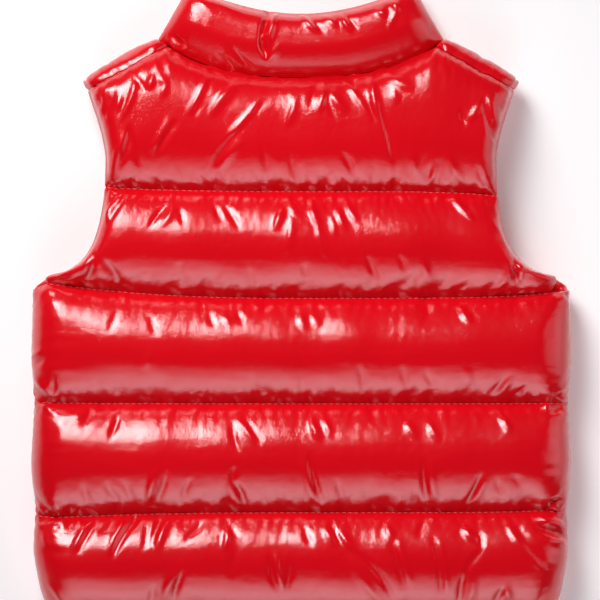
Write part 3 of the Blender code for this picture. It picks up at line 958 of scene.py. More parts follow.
def boundary_edges(cells: Array) -> Array:
    """Directed edges used by one cell only.

    Args:
        cells: four point numbers a cell.

    Returns:
        Two point numbers an edge.
    """
    sides = [np.stack([cells[:, k], cells[:, (k + 1) % 4]], axis=1) for k in range(4)]
    pairs = np.concatenate(sides)
    undirected = np.sort(pairs, axis=1)
    _, where, count = np.unique(undirected, axis=0, return_index=True, return_counts=True)
    return pairs[where[count == 1]]


def closed_wall(
    name: str,
    outer: Array,
    inner: Array,
    keep: Array,
    flip: bool,
    seam: Array | None = None,
    normals: Array | None = None,
) -> bpy.types.Mesh:
    """A closed padded wall between an outer and an inner grid.

    The outer cells, the inner cells turned over, and for every edge of the cloth two
    quads that round it: between both grids lies a line half way, pushed out by a share
    of the wall's thickness.

    Args:
        name: mesh name.
        outer: rows x columns x 3 points of the outer cloth.
        inner: the same for the lining.
        keep: which cells are cloth.
        flip: whether the grid's own normal points into the wall.
        seam: points where the next panel's cloth carries straight on.
        normals: outward normals that the outer cloth takes there, zero elsewhere.

    Returns:
        The mesh.
    """
    cells = grid_cells(keep)
    count = outer.shape[0] * outer.shape[1]
    edges = boundary_edges(cells)
    rim_points = np.unique(edges)
    top = outer.reshape(-1, 3)
    bottom = inner.reshape(-1, 3)
    between = (top[rim_points] + bottom[rim_points]) / 2
    lookup = np.zeros(count, int)
    lookup[rim_points] = np.arange(len(rim_points)) + 2 * count
    outward = np.zeros_like(top)
    cell_middle = top[cells].mean(axis=1)
    for corner in range(4):
        index = cells[:, corner]
        np.add.at(outward, index, top[index] - cell_middle)
    push = outward[rim_points] * (1.0, 1.0, 0.0)
    push /= np.maximum(np.linalg.norm(push, axis=1, keepdims=True), 1e-9)
    thickness = np.linalg.norm(top[rim_points] - bottom[rim_points], axis=1, keepdims=True)
    free = 1.0 if seam is None else ~seam.ravel()[rim_points, None]
    between = between + push * np.minimum(thickness * RIM_SHARE, RIM_MOST) * free
    first, second = edges[:, 0], edges[:, 1]
    upper = np.stack([second, first, lookup[first], lookup[second]], axis=1)
    lower = np.stack([lookup[second], lookup[first], first + count, second + count], axis=1)
    faces = np.concatenate([cells, cells[:, ::-1] + count, upper, lower])
    if flip:
        faces = faces[:, ::-1]
    points = np.concatenate([top, bottom, between])
    used = np.unique(faces)
    renumber = np.zeros(len(points), int)
    renumber[used] = np.arange(len(used))
    mesh = mesh_of(name, points[used], renumber[faces])
    if seam is not None:
        on_seam = np.zeros(len(used), bool)
        on_seam[renumber[np.nonzero(seam.ravel())[0]]] = True
        ends = np.zeros(len(mesh.edges) * 2, np.int32)
        mesh.edges.foreach_get("vertices", ends)
        sharp = on_seam[ends.reshape(-1, 2)].all(axis=1)
        marks = mesh.attributes.new("sharp_edge", "BOOLEAN", "EDGE")
        marks.data.foreach_set("value", sharp)
    if normals is not None:
        share_normals(mesh, normals.reshape(-1, 3), used, 4 * len(cells))
    return mesh


def share_normals(mesh: bpy.types.Mesh, normals: Array, used: Array, outer_corners: int) -> None:
    """Gives corners of the outer cloth the normals that two panels share on their seam.

    Args:
        mesh: the closed wall.
        normals: normal of each grid point, zero where the mesh keeps its own.
        used: grid point of each vertex.
        outer_corners: how many face corners the outer cloth has, first in the mesh.
    """
    corners = np.zeros(len(mesh.loops) * 3, np.float32)
    mesh.corner_normals.foreach_get("vector", corners)
    corners = corners.reshape(-1, 3)
    vertex = np.zeros(len(mesh.loops), np.int32)
    mesh.loops.foreach_get("vertex_index", vertex)
    point = used[vertex[:outer_corners]]
    wanted = normals[point]
    given = np.linalg.norm(wanted, axis=1) > 0.5
    corners[:outer_corners][given] = wanted[given]
    mesh.normals_split_custom_set(corners)


# ---------- filling puffs up the cloth
@dataclass
class Cloth:
    """One piece of outer cloth before and after the filling puffs it up.

    Attributes:
        name: CAD node that the piece stands for.
        grid: rows x columns x 3 points of the outer cloth.
        keep: which cells are cloth.
        pinned: points that thread holds, as a grid of truths.
        flip: whether the grid's normal points into the filling.
        ease: share of the extra length that this cloth has.
        seam: points sewn to the next panel, where the cloth carries straight on.
        swell: share of the even swelling that each row keeps.
    """

    name: str
    grid: Array
    keep: Array
    pinned: Array
    flip: bool
    ease: float = 1.0
    seam: Array | None = None
    swell: Array | float = 1.0


@dataclass(frozen=True)
class Filling:
    """How hard the filling presses and how much longer the cloth is than its seams."""

    enlarge: float = 10.0
    frames: int = 18
    pressure: float = 6.0
    growth: float = 0.006
    growth_on_lines: float = 0.050
    cap: float = 0.0075
    calm: float = 0.16
    calm_rows: float = 4.0
    growth_rows: float = 4.0
    growth_levels: int = 16
    patch_rows: int = 7
    patch_columns: int = 24
    least_patch: float = 0.55
    even_columns: float = 7.0
    roughen: float = 0.00025
    seed: int = 41

    def puff(self, pieces: list[Cloth]) -> None:
        """Presses all the pieces' cloth outwards and keeps the shape it takes.

        The pieces are simulated as one mesh, joined where their points meet, and enlarged
        so that the solver's steps suit them. Every point moves by at most the cap.

        Args:
            pieces: the cloth; each grid is replaced by its puffed form.
        """
        draw = np.random.default_rng(self.seed)
        points, normals, cells, pins, growths = [], [], [], [], []
        offset = 0
        for piece in pieces:
            quads = grid_cells(piece.keep)
            if piece.flip:
                quads = quads[:, ::-1]
            points.append(piece.grid.reshape(-1, 3))
            normals.append(grid_normals(piece.grid).reshape(-1, 3))
            cells.append(quads + offset)
            pins.append(piece.pinned.ravel())
            growths.append(self.line_growth(piece, draw).ravel())
            offset += len(points[-1])
        every = np.concatenate(points)
        _, first, joined = np.unique(
            np.round(every, 6), axis=0, return_index=True, return_inverse=True
        )
        joined = joined.reshape(-1)
        held = np.concatenate(pins)[first]
        rough = draw.normal(0.0, self.roughen, len(first)) * ~held
        start = every[first] + np.concatenate(normals)[first] * rough[:, None]
        growth = np.concatenate(growths)[first]
        end = self.simulate(start, joined[np.concatenate(cells)], held, growth)
        moved = end - start
        far = np.linalg.norm(moved, axis=1, keepdims=True)
        moved *= np.minimum(1.0, self.cap / np.maximum(far, 1e-9))
        end = np.where(np.isfinite(moved) & ~held[:, None], start + moved, every[first])
        offset = 0
        for piece in pieces:
            count = piece.grid.shape[0] * piece.grid.shape[1]
            puffed = end[joined[offset : offset + count]].reshape(piece.grid.shape)
            piece.grid = self.calmed(piece, puffed)
            offset += count

    def calmed(self, piece: Cloth, puffed: Array) -> Array:
        """Puffed cloth with the folds flattened where the filling stretches it.

        The movement is split into its average over the neighbouring columns and the rest;
        the rest keeps calm + (1 - calm) * exp(-(n / calm_rows)^2) of its size, n rows from
        the nearest stitched row.

        Args:
            piece: the cloth before it is puffed.
            puffed: its points after that.

        Returns:
            Its calmed points.
        """
        moved = puffed - piece.grid
        reach = int(3 * self.even_columns)
        bell = np.exp(-((np.arange(-reach, reach + 1) / self.even_columns) ** 2))
        padded = np.pad(
            moved, ((0, 0), (reach, reach), (0, 0)), mode="reflect", reflect_type="odd"
        )
        windows = np.lib.stride_tricks.sliding_window_view(padded, 2 * reach + 1, axis=1)
        even = windows @ (bell / bell.sum())
        near = self.rows_away(piece)
        beside = np.exp(-((near / self.calm_rows) ** 2)) * piece.ease
        kept = self.calm * piece.ease + (1.0 - self.calm) * beside
        swell = np.broadcast_to(piece.swell, kept.shape)[:, None, None]
        calm = piece.grid + even * swell + (moved - even) * kept[:, None, None]
        return np.where(piece.pinned[..., None], piece.grid, calm)

    @staticmethod
    def rows_away(piece: Cloth) -> Array:
        """How many rows each row lies from the nearest stitched one."""
        rows = np.nonzero(piece.pinned.mean(axis=1) > 0.9)[0]
        every = np.arange(piece.grid.shape[0])
        return np.abs(every[:, None] - rows).min(axis=1).astype(float)

    def line_growth(self, piece: Cloth, draw: np.random.Generator) -> Array:
        """Extra length of the cloth: most beside the stitched rows, and uneven.

        Args:
            piece: the cloth.
            draw: where the uneven patches are drawn from.

        Returns:
            Shares from 0 to 1, one a point.
        """
        near = self.rows_away(piece)
        beside = np.exp(-((near / self.growth_rows) ** 2))[:, None] * piece.ease
        size = (piece.grid.shape[0] // self.patch_rows + 2, self.patch_columns)
        patches = draw.uniform(self.least_patch, 1.0, size)
        patchy = resample(
            np.repeat(patches[..., None], 3, axis=2), *piece.grid.shape[:2]
        )[..., 0]
        return np.clip(beside * patchy, 0.0, 1.0)

    def simulate(self, start: Array, cells: Array, pins: Array, growth: Array) -> Array:
        """Runs the cloth solver with pressure and no gravity.

        Args:
            start: points before.
            cells: four point numbers a cell.
            pins: points that stay.
            growth: share of the extra length at each point.

        Returns:
            Points after the last frame.
        """
        scene = bpy.context.scene
        mesh = mesh_of("working_cloth", start * self.enlarge, cells)
        working = link(mesh, "working_cloth")
        pin_group = working.vertex_groups.new(name="pinned")
        pin_group.add(np.nonzero(pins)[0].tolist(), 1.0, "REPLACE")
        growth_group = working.vertex_groups.new(name="growth")
        levels = np.round(growth * self.growth_levels).astype(int)
        for level in range(1, self.growth_levels + 1):
            chosen = np.nonzero(levels == level)[0].tolist()
            growth_group.add(chosen, level / self.growth_levels, "REPLACE")
        cloth = working.modifiers.new("cloth", "CLOTH")
        settings = cloth.settings
        settings.quality = 6
        settings.mass = 0.12
        settings.air_damping = 4.0
        settings.tension_stiffness = 25.0
        settings.compression_stiffness = 25.0
        settings.shear_stiffness = 8.0
        settings.bending_stiffness = 0.15
        settings.tension_damping = 12.0
        settings.compression_damping = 12.0
        settings.shear_damping = 8.0
        settings.bending_damping = 1.0
        settings.vertex_group_mass = "pinned"
        settings.vertex_group_shrink = "growth"
        settings.shrink_min = -self.growth
        settings.shrink_max = -self.growth_on_lines
        settings.use_pressure = True
        settings.uniform_pressure_force = self.pressure
        settings.effector_weights.gravity = 0.0
        cloth.collision_settings.use_collision = False
        cloth.collision_settings.use_self_collision = False
        cloth.point_cache.frame_start = 1
        cloth.point_cache.frame_end = self.frames
        for frame_number in range(1, self.frames + 1):
            scene.frame_set(frame_number)
        evaluated = working.evaluated_get(bpy.context.evaluated_depsgraph_get())
        flat = np.zeros(len(start) * 3, np.float32)
        evaluated.data.vertices.foreach_get("co", flat)
        bpy.data.objects.remove(working, do_unlink=True)
        scene.frame_set(1)
        return flat.reshape(-1, 3).astype(float) / self.enlarge


# ---------- listed creases
def creases(*rows: tuple[float, ...]) -> tuple[Crease, ...]:
    """A table of creases from rows of their numbers."""
    return tuple(Crease(*row) for row in rows)


BACK_CREASES = creases(
    (-143, 392, -3, -22, 3, 1.2), (-137, 393, -4, -21, 2.6, 1.1), (-132, 389, -3, -13, 2.6, -0.9),
    (-149, 389, -1, -12, 3, 1), (172, 71, 24, -10, 3.4, 2.2), (172, 76, 22, -4, 3, -1.6),
    (178, 66, 19, -11, 3.2, -1.2), (179, 84, 11, 5, 2.4, 1.6), (183, 89, 12, -13, 2.2, -1.5),
    (186, 82, 11, -11, 2.4, 1.4), (178, 160, 9, -4, 2.4, -1.4), (181, 165, 12, -4, 2.4, 1.3),
    (184, 154, 13, 3, 2.6, 1.2), (-196, 85, 11, -7, 2.6, -1.2), (-197, 73, 18, 3, 2.4, 1.2),
    (-196, 160, 12, -6, 2.4, -1.1), (-199, 169, 11, -6, 2.4, 1), (-181, 72, 10, -3, 2.4, -1),
    (-69, 401, -14, -27, 3.2, -1.5), (-65, 401, -14, -30, 3, 0.9), (-46, 398, -21, -26, 4, -1.4),
    (-31, 383, -23, -25, 3, -1.5), (-26, 383, -23, -27, 2.6, 0.8), (-91, 369, -15, -25, 2.6, 1.5),
    (-96, 371, -15, -24, 4, -0.8), (-48, 359, -18, -25, 2.4, 1.3), (-43, 354, -18, -22, 3, -0.7),
    (-126, 365, -8, -31, 2.4, 1.4), (-126, 365, 8, -31, 2.4, 1.2), (-129, 360, -10, -31, 3, -0.8),
    (-121, 402, -12, -33, 2.4, -1.1), (-124, 404, 10, -13, 2.6, 1.3), (-113, 392, 5, 10, 3, -1.3),
    (-106, 401, 8, -6, 3.2, -1.1), (-99, 396, -3, -10, 2.6, -0.9), (13, 375, 5, 26, 3, -1.3),
    (7, 377, 6, 22, 2.8, 0.7), (21, 392, 13, -17, 3.2, -1.2), (19, 386, 7, -17, 2.4, 0.7),
    (31, 400, 20, -31, 3, -1.5), (36, 401, 20, -32, 2.8, 0.9), (52, 404, 7, -38, 3.2, -1.5),
    (57, 378, 11, -41, 2.4, 1.5), (62, 404, 20, -12, 4.6, -1.4), (68, 392, 3, -11, 2.6, -0.8),
    (-4, 386, -7, -21, 3.4, -1), (134, 386, 11, -36, 2.4, 1.5), (138, 389, 12, -33, 3.4, -1),
    (140, 399, 8, -25, 2.4, 1.1), (117, 377, 4, -12, 2.4, 1), (123, 368, 9, 13, 3, -0.9),
    (97, 322, 3, 24, 3, -0.9), (91, 323, 8, 21, 2.4, 0.9), (106, 347, 14, -24, 3.6, -0.8),
    (29, 346, 10, -18, 3, 0.8), (80, 347, 6, -18, 3.6, -0.8), (130, 335, 6, -15, 2.6, 0.7),
    (-29, 349, 4, -21, 3.6, 0.6), (-7, 347, 3, -21, 3.4, 0.6), (-99, 307, -13, -17, 2.2, 1.3),
    (-93, 307, -10, -16, 3, -0.9), (-89, 305, 3, -13, 2.2, 0.9), (-64, 307, 6, -12, 2.2, 1.1),
    (-58, 307, 13, -19, 2.6, 1), (-13, 304, -6, -15, 3, -1.3), (-12, 317, 11, -21, 3, -0.9),
    (-7, 299, -5, -28, 3.4, -0.8), (-140, 310, -2, -19, 2.8, -1.3), (-129, 313, -14, -21, 2.6, 1.2),
    (-146, 267, 14, -22, 2.6, 1.6), (-151, 265, 9, -19, 4, -0.8), (-155, 271, -5, -17, 2.6, -1.2),
    (-151, 277, -6, -25, 2, 1.2), (7, 310, 6, -19, 3, -1.4), (12, 294, 7, -26, 2.8, -0.8),
    (21, 301, 4, -18, 2.6, -0.7), (26, 306, 7, -18, 3, -1.3), (32, 311, 10, -17, 2.8, -1),
    (108, 314, 18, -18, 3, -1.5), (113, 314, 17, -16, 2.6, 0.8), (48, 271, 9, -20, 2.6, 0.9),
    (71, 271, 6, -15, 3, 0.7), (88, 270, 8, -21, 3.4, -0.8), (2, 265, 3, -13, 3, 0.6),
    (-39, 261, 3, -17, 3, 0.5), (-90, 265, 4, -18, 3.4, 0.6), (146, 298, 12, -28, 2.6, 1.4),
    (141, 295, 11, -28, 4, -0.8), (157, 271, 4, -27, 2.6, 2.2), (163, 267, -3, -23, 2.4, -1.4),
    (152, 258, -10, -17, 3, -1), (-69, 227, 6, -10, 2.4, 0.8), (-59, 227, 8, -8, 2.4, -0.8),
    (-48, 228, 5, -10, 2.4, 0.8), (-133, 231, -8, -18, 2.6, 0.6), (-111, 225, 6, -15, 2.8, 0.6),
    (-201, 192, 13, 8, 2.6, -1.3), (-199, 188, 11, 7, 2.4, 1), (-198, 181, 14, -13, 2.2, -1.3),
    (-183, 179, -1, -15, 2.2, 1.3), (-111, 198, -4, -12, 3.6, -0.6), (116, 233, 9, -13, 2.8, -1.4),
    (120, 233, 9, -12, 2.4, 0.7), (-1, 230, 4, -15, 3, -1), (8, 228, 5, -10, 2.6, -0.8),
    (42, 189, 3, -17, 2.6, 0.8), (74, 189, 4, -16, 2.8, 0.7), (91, 185, 8, -13, 3, 0.7),
    (120, 188, 3, -13, 3.4, -0.6), (139, 167, 13, 14, 2.8, 1.1), (155, 163, 11, 11, 2.4, 1.3),
    (146, 169, 11, 10, 3.4, -0.7), (177, 159, 10, 4, 2.6, -1.4), (178, 155, 20, 5, 2.4, 1.4),
    (187, 164, 12, 5, 2.4, 1.2), (-191, 160, 12, -8, 2.4, -1.2), (-179, 152, 22, 0, 2.4, -1),
    (-135, 152, -6, -16, 2.2, 1.4), (-154, 155, -7, -10, 2.4, 0.9), (-51, 146, 6, -22, 2.4, 1.3),
    (-48, 150, 14, -19, 2.8, -1.3), (-43, 152, 14, -19, 2.2, 0.9), (-48, 116, -3, -13, 2.4, 1.2),
    (-51, 105, 10, -20, 2.4, 1.6), (-54, 103, 8, -19, 3.4, -0.8), (-105, 114, -8, -30, 3.2, -1.3),
    (-99, 112, -8, -25, 2.4, 1), (-81, 106, -6, -15, 2.8, 0.8), (-144, 103, 9, -14, 3, 0.8),
    (-133, 105, 9, -17, 3, 0.7), (-161, 102, 6, -14, 3, 0.7), (7, 150, 7, -16, 3, -1.5),
    (15, 151, 7, -15, 2.8, -1), (77, 149, 8, -14, 2.8, -1.1), (94, 148, 7, -15, 2.6, -1.2),
    (146, 152, 8, -13, 2.8, -1.4), (6, 124, 10, -36, 2.4, 1.8), (1, 121, 9, -33, 3.4, -0.8),
    (25, 105, 5, -20, 2.8, 0.7), (90, 121, 4, -35, 2.4, 1.5), (95, 120, 4, -30, 3.6, -0.9),
    (132, 109, -12, -24, 2.4, 1.7), (138, 108, -12, -23, 3.4, -0.8), (143, 106, 6, -13, 3, 0.7),
    (155, 109, 6, -10, 3, 0.6), (178, 87, 19, 4, 2.4, 1.2), (184, 82, 13, -4, 2.4, -1.2),
    (172, 72, 27, -12, 2.8, 2.2), (175, 66, 22, -11, 3, -1), (-188, 74, 18, -1, 2.2, -1.2),
    (-167, 76, 6, -10, 2.2, -1), (-154, 75, -15, -25, 2.6, -1.3), (-149, 75, -15, -25, 2.2, 1),
    (-137, 76, -12, -11, 2.4, 1), (-119, 80, -20, -33, 2.4, 2), (-124, 81, -19, -31, 3, -1.2),
    (-132, 78, 6, -11, 2.2, 1.1), (-97, 76, -9, -23, 2.6, -1.3), (-102, 78, -9, -22, 2.2, 1.2),
    (-114, 72, -2, -19, 2.4, 0.9), (-71, 73, -15, -14, 2.4, 1.1), (-56, 76, 9, -14, 2.4, 1.1),
    (-54, 72, -3, -20, 2.8, -1.4), (-19, 51, 6, -27, 2.6, -1.6), (-23, 50, 5, -27, 2.4, 1.3),
    (-8, 47, -3, -23, 2.4, 1.1), (-91, 38, -11, -22, 3, -1.2), (-86, 39, -8, -25, 2.4, 1.3),
    (-109, 27, -3, -16, 3, 0.9), (-47, 57, -4, -24, 3.4, 0.8), (2, 70, 6, -14, 2.6, 1),
    (15, 70, 10, -14, 3, -1.3), (21, 72, 11, -16, 2.4, 1), (28, 67, 12, -14, 3, -1.4),
    (42, 51, 26, -35, 2.6, 1.8), (36, 47, 26, -35, 3.6, -1), (62, 72, 6, -11, 2.8, -1.2),
    (65, 60, 10, -36, 2.6, 1.2), (71, 62, 10, -35, 3.2, -1), (90, 73, -4, -11, 2.6, 0.9),
    (96, 63, 7, -42, 2.4, 1.6), (101, 59, 8, -38, 3.4, -1), (119, 70, 10, -11, 3, -1.5),
    (129, 67, 4, -14, 2.4, 1.1), (133, 54, -13, -18, 2.4, 1.4), (120, 38, -3, -26, 2.4, 1.5),
    (126, 35, -3, -24, 3.4, -0.9), (150, 75, 28, -37, 3, -1), (155, 76, 29, -37, 3, 0.9),
    (143, 12, 7, 14, 2.4, 1.3), (150, 27, 5, -12, 2.6, -1.2), (-191, 67, 6, -14, 2.6, -0.8),
    (-188, 29, 13, -18, 3, -0.9),
)
COLLAR_CREASES = creases(
    (-25, 453, -5, -21, 3.4, 3.6), (-30, 433, 5, -17, 3.2, 3.2), (-18, 450, -6, -23, 3.2, -1.8),
    (-16, 426, -10, -11, 3, -0.8), (-56, 424, 15, -17, 2.8, -0.9), (-51, 424, 15, -16, 2.6, 0.8),
    (-63, 420, 12, -13, 3, 0.6), (-100, 432, 12, -11, 2.4, -1.4), (-96, 435, 10, -11, 2.2, 1.3),
    (-103, 426, 7, -5, 2.2, 1), (-1, 450, 14, -15, 2.8, -1.3), (4, 450, 14, -15, 2.4, 0.9),
    (16, 447, 11, -8, 3, -1.2), (29, 448, 9, -12, 2.8, -1.2), (33, 450, 9, -12, 2.4, 0.9),
    (56, 452, 7, -5, 3.4, -1.1), (67, 459, 6, -8, 3.4, -1.3), (72, 453, -7, -17, 2.6, -0.9),
    (-81, 459, 10, -18, 5, 0.6), (-66, 459, 21, -9, 4, -0.7), (96, 445, 7, -16, 4, 0.6),
)


@dataclass(frozen=True)
class CreaseForm:
    """The form that every crease of a table takes."""

    strength: float = 1.3
    rebound: float = 0.35  # how much of it turns back beside its line
    past_ends: float = 1.12  # where it fades out, in halves of its length
    bow: float = 0.05  # of its length
    broad: float = 1.15  # factor on its width on one side
    narrow: float = 0.8  # and on the other
    margin: float = 12.0  # millimetres past its ends that are worked out

    def depths(self, creases: tuple[Crease, ...], across: Array, up: Array) -> Array:
        """Depth of a table of creases at points given in metres.

        Each is strength * depth * f^1.2 * (1 - rebound * q^2) * exp(-q^2), where f is
        1 - (s / past_ends)^2 and s runs from -1 to 1 between the ends. q is the distance
        beside the line over the width there, which narrows to half at the ends. The line
        bows by a quarter cosine each way, two creases in three to one side.

        Args:
            creases: the table.
            across: place across the cloth.
            up: place up the cloth.

        Returns:
            Depths in metres, positive into the filling.
        """
        x, y = across * 1000.0, up * 1000.0
        total = np.zeros_like(x)
        for number, crease in enumerate(creases):
            start = np.array([crease.start_across, crease.start_up])
            run = np.array([crease.run_across, crease.run_up])
            length = float(np.hypot(*run))
            to_end = run / length
            middle = start + run / 2
            reach = length / 2 + self.margin
            near = (np.abs(x - middle[0]) < reach) & (np.abs(y - middle[1]) < reach)
            dx, dy = x[near] - middle[0], y[near] - middle[1]
            along = 2.0 * (dx * to_end[0] + dy * to_end[1]) / length
            side = 1 if number % 3 else -1
            bow = length * self.bow * np.cos(along * np.pi / 2) * side
            beside = dx * to_end[1] - dy * to_end[0] - bow
            fade = np.clip(1.0 - (along / self.past_ends) ** 2, 0.0, 1.0)
            sided = np.where(beside < 0.0, self.broad, self.narrow)
            q = (beside / (crease.width * (0.5 + 0.5 * fade) * sided)) ** 2
            dent = (1.0 - self.rebound * q) * np.exp(-q)
            total[near] += self.strength * crease.depth * fade**1.2 * dent
        return total / 1000.0


@dataclass(frozen=True)
class Puckers:
    """Uneven folds that thread draws up beside a stitched line."""

    per_metre: float
    shortest: float
    longest: float
    depth: float  # deepest trough
    width: float  # half width of a trough on the line
    widening: float  # for each metre from the line
    most_lean: float  # as a slope
    share_above: float  # of them all, on the line's upper side

    def depths(self, along: Array, away: Array, seed: int) -> Array:
        """Depth of the puckers on both sides of one line.

        Each is a trough depth * fade * exp(-(b / w)^2) that starts on the line: b is the
        distance beside its leaning axis, w widens with the distance from the line, and
        fade is (1 - s) * (0.55 + 1.8 * s * (1 - s)), s the share of its own length. Its
        length is drawn by a beta curve that favours short ones, its depth from 35% of the
        deepest up, less for a short one, and its width from 70% to 150%.

        Args:
            along: place along the line.
            away: signed distance from it.
            seed: fixes the draw.

        Returns:
            Depths in metres.
        """
        draw = np.random.default_rng(seed)
        low, high = float(along.min()), float(along.max())
        count = int((high - low) * self.per_metre)
        total = np.zeros_like(along)
        near = np.abs(away) < self.longest
        place, distance = along[near], away[near]
        sums = np.zeros_like(place)
        for _ in range(count):
            middle = draw.uniform(low, high)
            side = 1.0 if draw.uniform() < self.share_above else -1.0
            length = self.shortest + (self.longest - self.shortest) * draw.beta(1.2, 2.6)
            lean = draw.normal(0.0, self.most_lean / 2)
            depth = self.depth * draw.uniform(0.35, 1.0) * (0.5 + 0.5 * length / self.longest)
            narrow = self.width * draw.uniform(0.7, 1.5)
            out = distance * side
            share = np.clip(out / length, 0.0, 1.0)
            fade = (1.0 - share) * (0.55 + 1.8 * share * (1.0 - share)) * (out > -0.0008)
            beside = place - middle - lean * out
            width = narrow + self.widening * np.abs(out)
            sums += depth * fade * np.exp(-((beside / width) ** 2))
        total[near] = sums
        return total


# ---------- finishes
class Nodes:
    """Short way to add nodes to a material and link them."""

    def __init__(self, name: str) -> None:
        """Starts a node material of that name."""
        self.material = bpy.data.materials.new(name)
        self.material.use_nodes = True
        self.tree = self.material.node_tree
        self.shader = self.tree.nodes["Principled BSDF"]

    def add(self, kind: str, **values: object) -> bpy.types.Node:
        """Adds a node and sets its properties, or its inputs by name.

        Args:
            kind: Blender's name for the node.
            values: values by property, or by input in lower case.

        Returns:
            The node.
        """
        node = self.tree.nodes.new(kind)
        for key, value in values.items():
            if hasattr(node, key):
                setattr(node, key, value)
            else:
                node.inputs[key.replace("_", " ").title()].default_value = value
        return node

    def join(
        self, source: bpy.types.Node, output: int | str, target: bpy.types.Node, to: int | str
    ) -> None:
        """Links an output to an input."""
        self.tree.links.new(source.outputs[output], target.inputs[to])

    def set(self, **values: object) -> None:
        """Sets the shader's own sockets by name."""
        for key, value in values.items():
            socket = key.replace("_", " ").title().replace("Ior", "IOR")
            self.shader.inputs[socket].default_value = value


@dataclass(frozen=True)
class ShellFinish:
    """Lacquered nylon: glossy, deep red, with a fine weave under the lacquer."""

    deep: tuple[float, float, float] = (0.66, 0.0012, 0.0070)
    bright: tuple[float, float, float] = (0.76, 0.0018, 0.0095)
    roughness: float = 0.38
    specular: float = 0.12
    coat: float = 0.95
    coat_roughness: float = 0.085
    coat_ior: float = 1.6
    tint: float = 14.0
    weave: float = 950.0
    weave_depth: float = 0.00014
    wrinkle: float = 80.0
    wrinkle_depth: float = 0.00028

    def build(self, name: str) -> bpy.types.Material:
        """Makes the material on the cloth's own object coordinates.

        The colour varies slowly between deep and bright. Small wrinkles bend both the
        cloth and the lacquer, and the weave bends only the lacquer.

        Args:
            name: material name.

        Returns:
            The material.
        """
        nodes = Nodes(name)
        nodes.set(
            roughness=self.roughness,
            coat_weight=self.coat,
            coat_roughness=self.coat_roughness,
            coat_ior=self.coat_ior,
            specular_ior_level=self.specular,
        )
        place = nodes.add("ShaderNodeTexCoord")
        tint = nodes.add("ShaderNodeTexNoise", scale=self.tint, detail=3.0)
        nodes.join(place, "Object", tint, "Vector")
        mix = nodes.add("ShaderNodeMix", data_type="RGBA")
        mix.inputs[6].default_value = (*self.deep, 1.0)
        mix.inputs[7].default_value = (*self.bright, 1.0)
        nodes.join(tint, "Fac", mix, 0)
        nodes.join(mix, 2, nodes.shader, "Base Color")
        wrinkle = nodes.add("ShaderNodeTexNoise", scale=self.wrinkle, detail=3.0, roughness=0.55)
        nodes.join(place, "Object", wrinkle, "Vector")
        soft = nodes.add("ShaderNodeBump", strength=1.0, distance=self.wrinkle_depth)
        nodes.join(wrinkle, "Fac", soft, "Height")
        weave = nodes.add("ShaderNodeTexNoise", scale=self.weave, detail=1.0)
        nodes.join(place, "Object", weave, "Vector")
        fine = nodes.add("ShaderNodeBump", strength=1.0, distance=self.weave_depth)
        nodes.join(weave, "Fac", fine, "Height")
        nodes.join(soft, "Normal", fine, "Normal")
        nodes.join(soft, "Normal", nodes.shader, "Normal")
        nodes.join(fine, "Normal", nodes.shader, "Coat Normal")
        return nodes.material


@dataclass(frozen=True)
class PlainFinish:
    """One colour with a fine uneven surface: thread, tape, teeth and metal."""

    colour: tuple[float, float, float]
    roughness: float
    metallic: float = 0.0
    specular: float = 0.5
    grain: float = 900.0
    grain_depth: float = 0.00005
    stretch: tuple[float, float, float] = (1.0, 1.0, 1.0)

    def build(self, name: str) -> bpy.types.Material:
        """Makes the material with a noise bump on object coordinates.

        Args:
            name: material name.

        Returns:
            The material.
        """
        nodes = Nodes(name)
        nodes.set(
            base_color=(*self.colour, 1.0),
            roughness=self.roughness,
            metallic=self.metallic,
            specular_ior_level=self.specular,
        )
        place = nodes.add("ShaderNodeTexCoord")
        spread = nodes.add("ShaderNodeMapping")
        spread.inputs["Scale"].default_value = self.stretch
        nodes.join(place, "Object", spread, "Vector")
        grain = nodes.add("ShaderNodeTexNoise", scale=self.grain, detail=2.0)
        nodes.join(spread, "Vector", grain, "Vector")
        bump = nodes.add("ShaderNodeBump", strength=1.0, distance=self.grain_depth)
        nodes.join(grain, "Fac", bump, "Height")
        nodes.join(bump, "Normal", nodes.shader, "Normal")
        return nodes.material


# ---------- padded pieces
FINER = 1.5  # cells of the finished grids for each cell of the simulated ones
SEAM_GAP = 0.0004


def finer(grid: Array) -> Array:
    """The same surface with half as many cells again each way."""
    rows, columns = grid.shape[:2]
    return resample(grid, int((rows - 1) * FINER) + 1, int((columns - 1) * FINER) + 1)


def fine_row(number: int) -> int:
    """Row of a stitched line on the finer grid, counted from the hem's 0."""
    return int(PanelRows().quilt_row(number) * FINER)


def facing_up(normals: Array, least: float = 0.1, run: float = 0.3) -> Array:
    """Share of a crease that each point takes: 1 on top, 0 where the cloth turns under."""
    return ease((normals[..., 2] - least) / run)


def centred(grid: Array) -> Array:
    """A grid moved from heights above the hem to the frame's own Y."""
    return grid - (0.0, FORM.length / 2, 0.0)


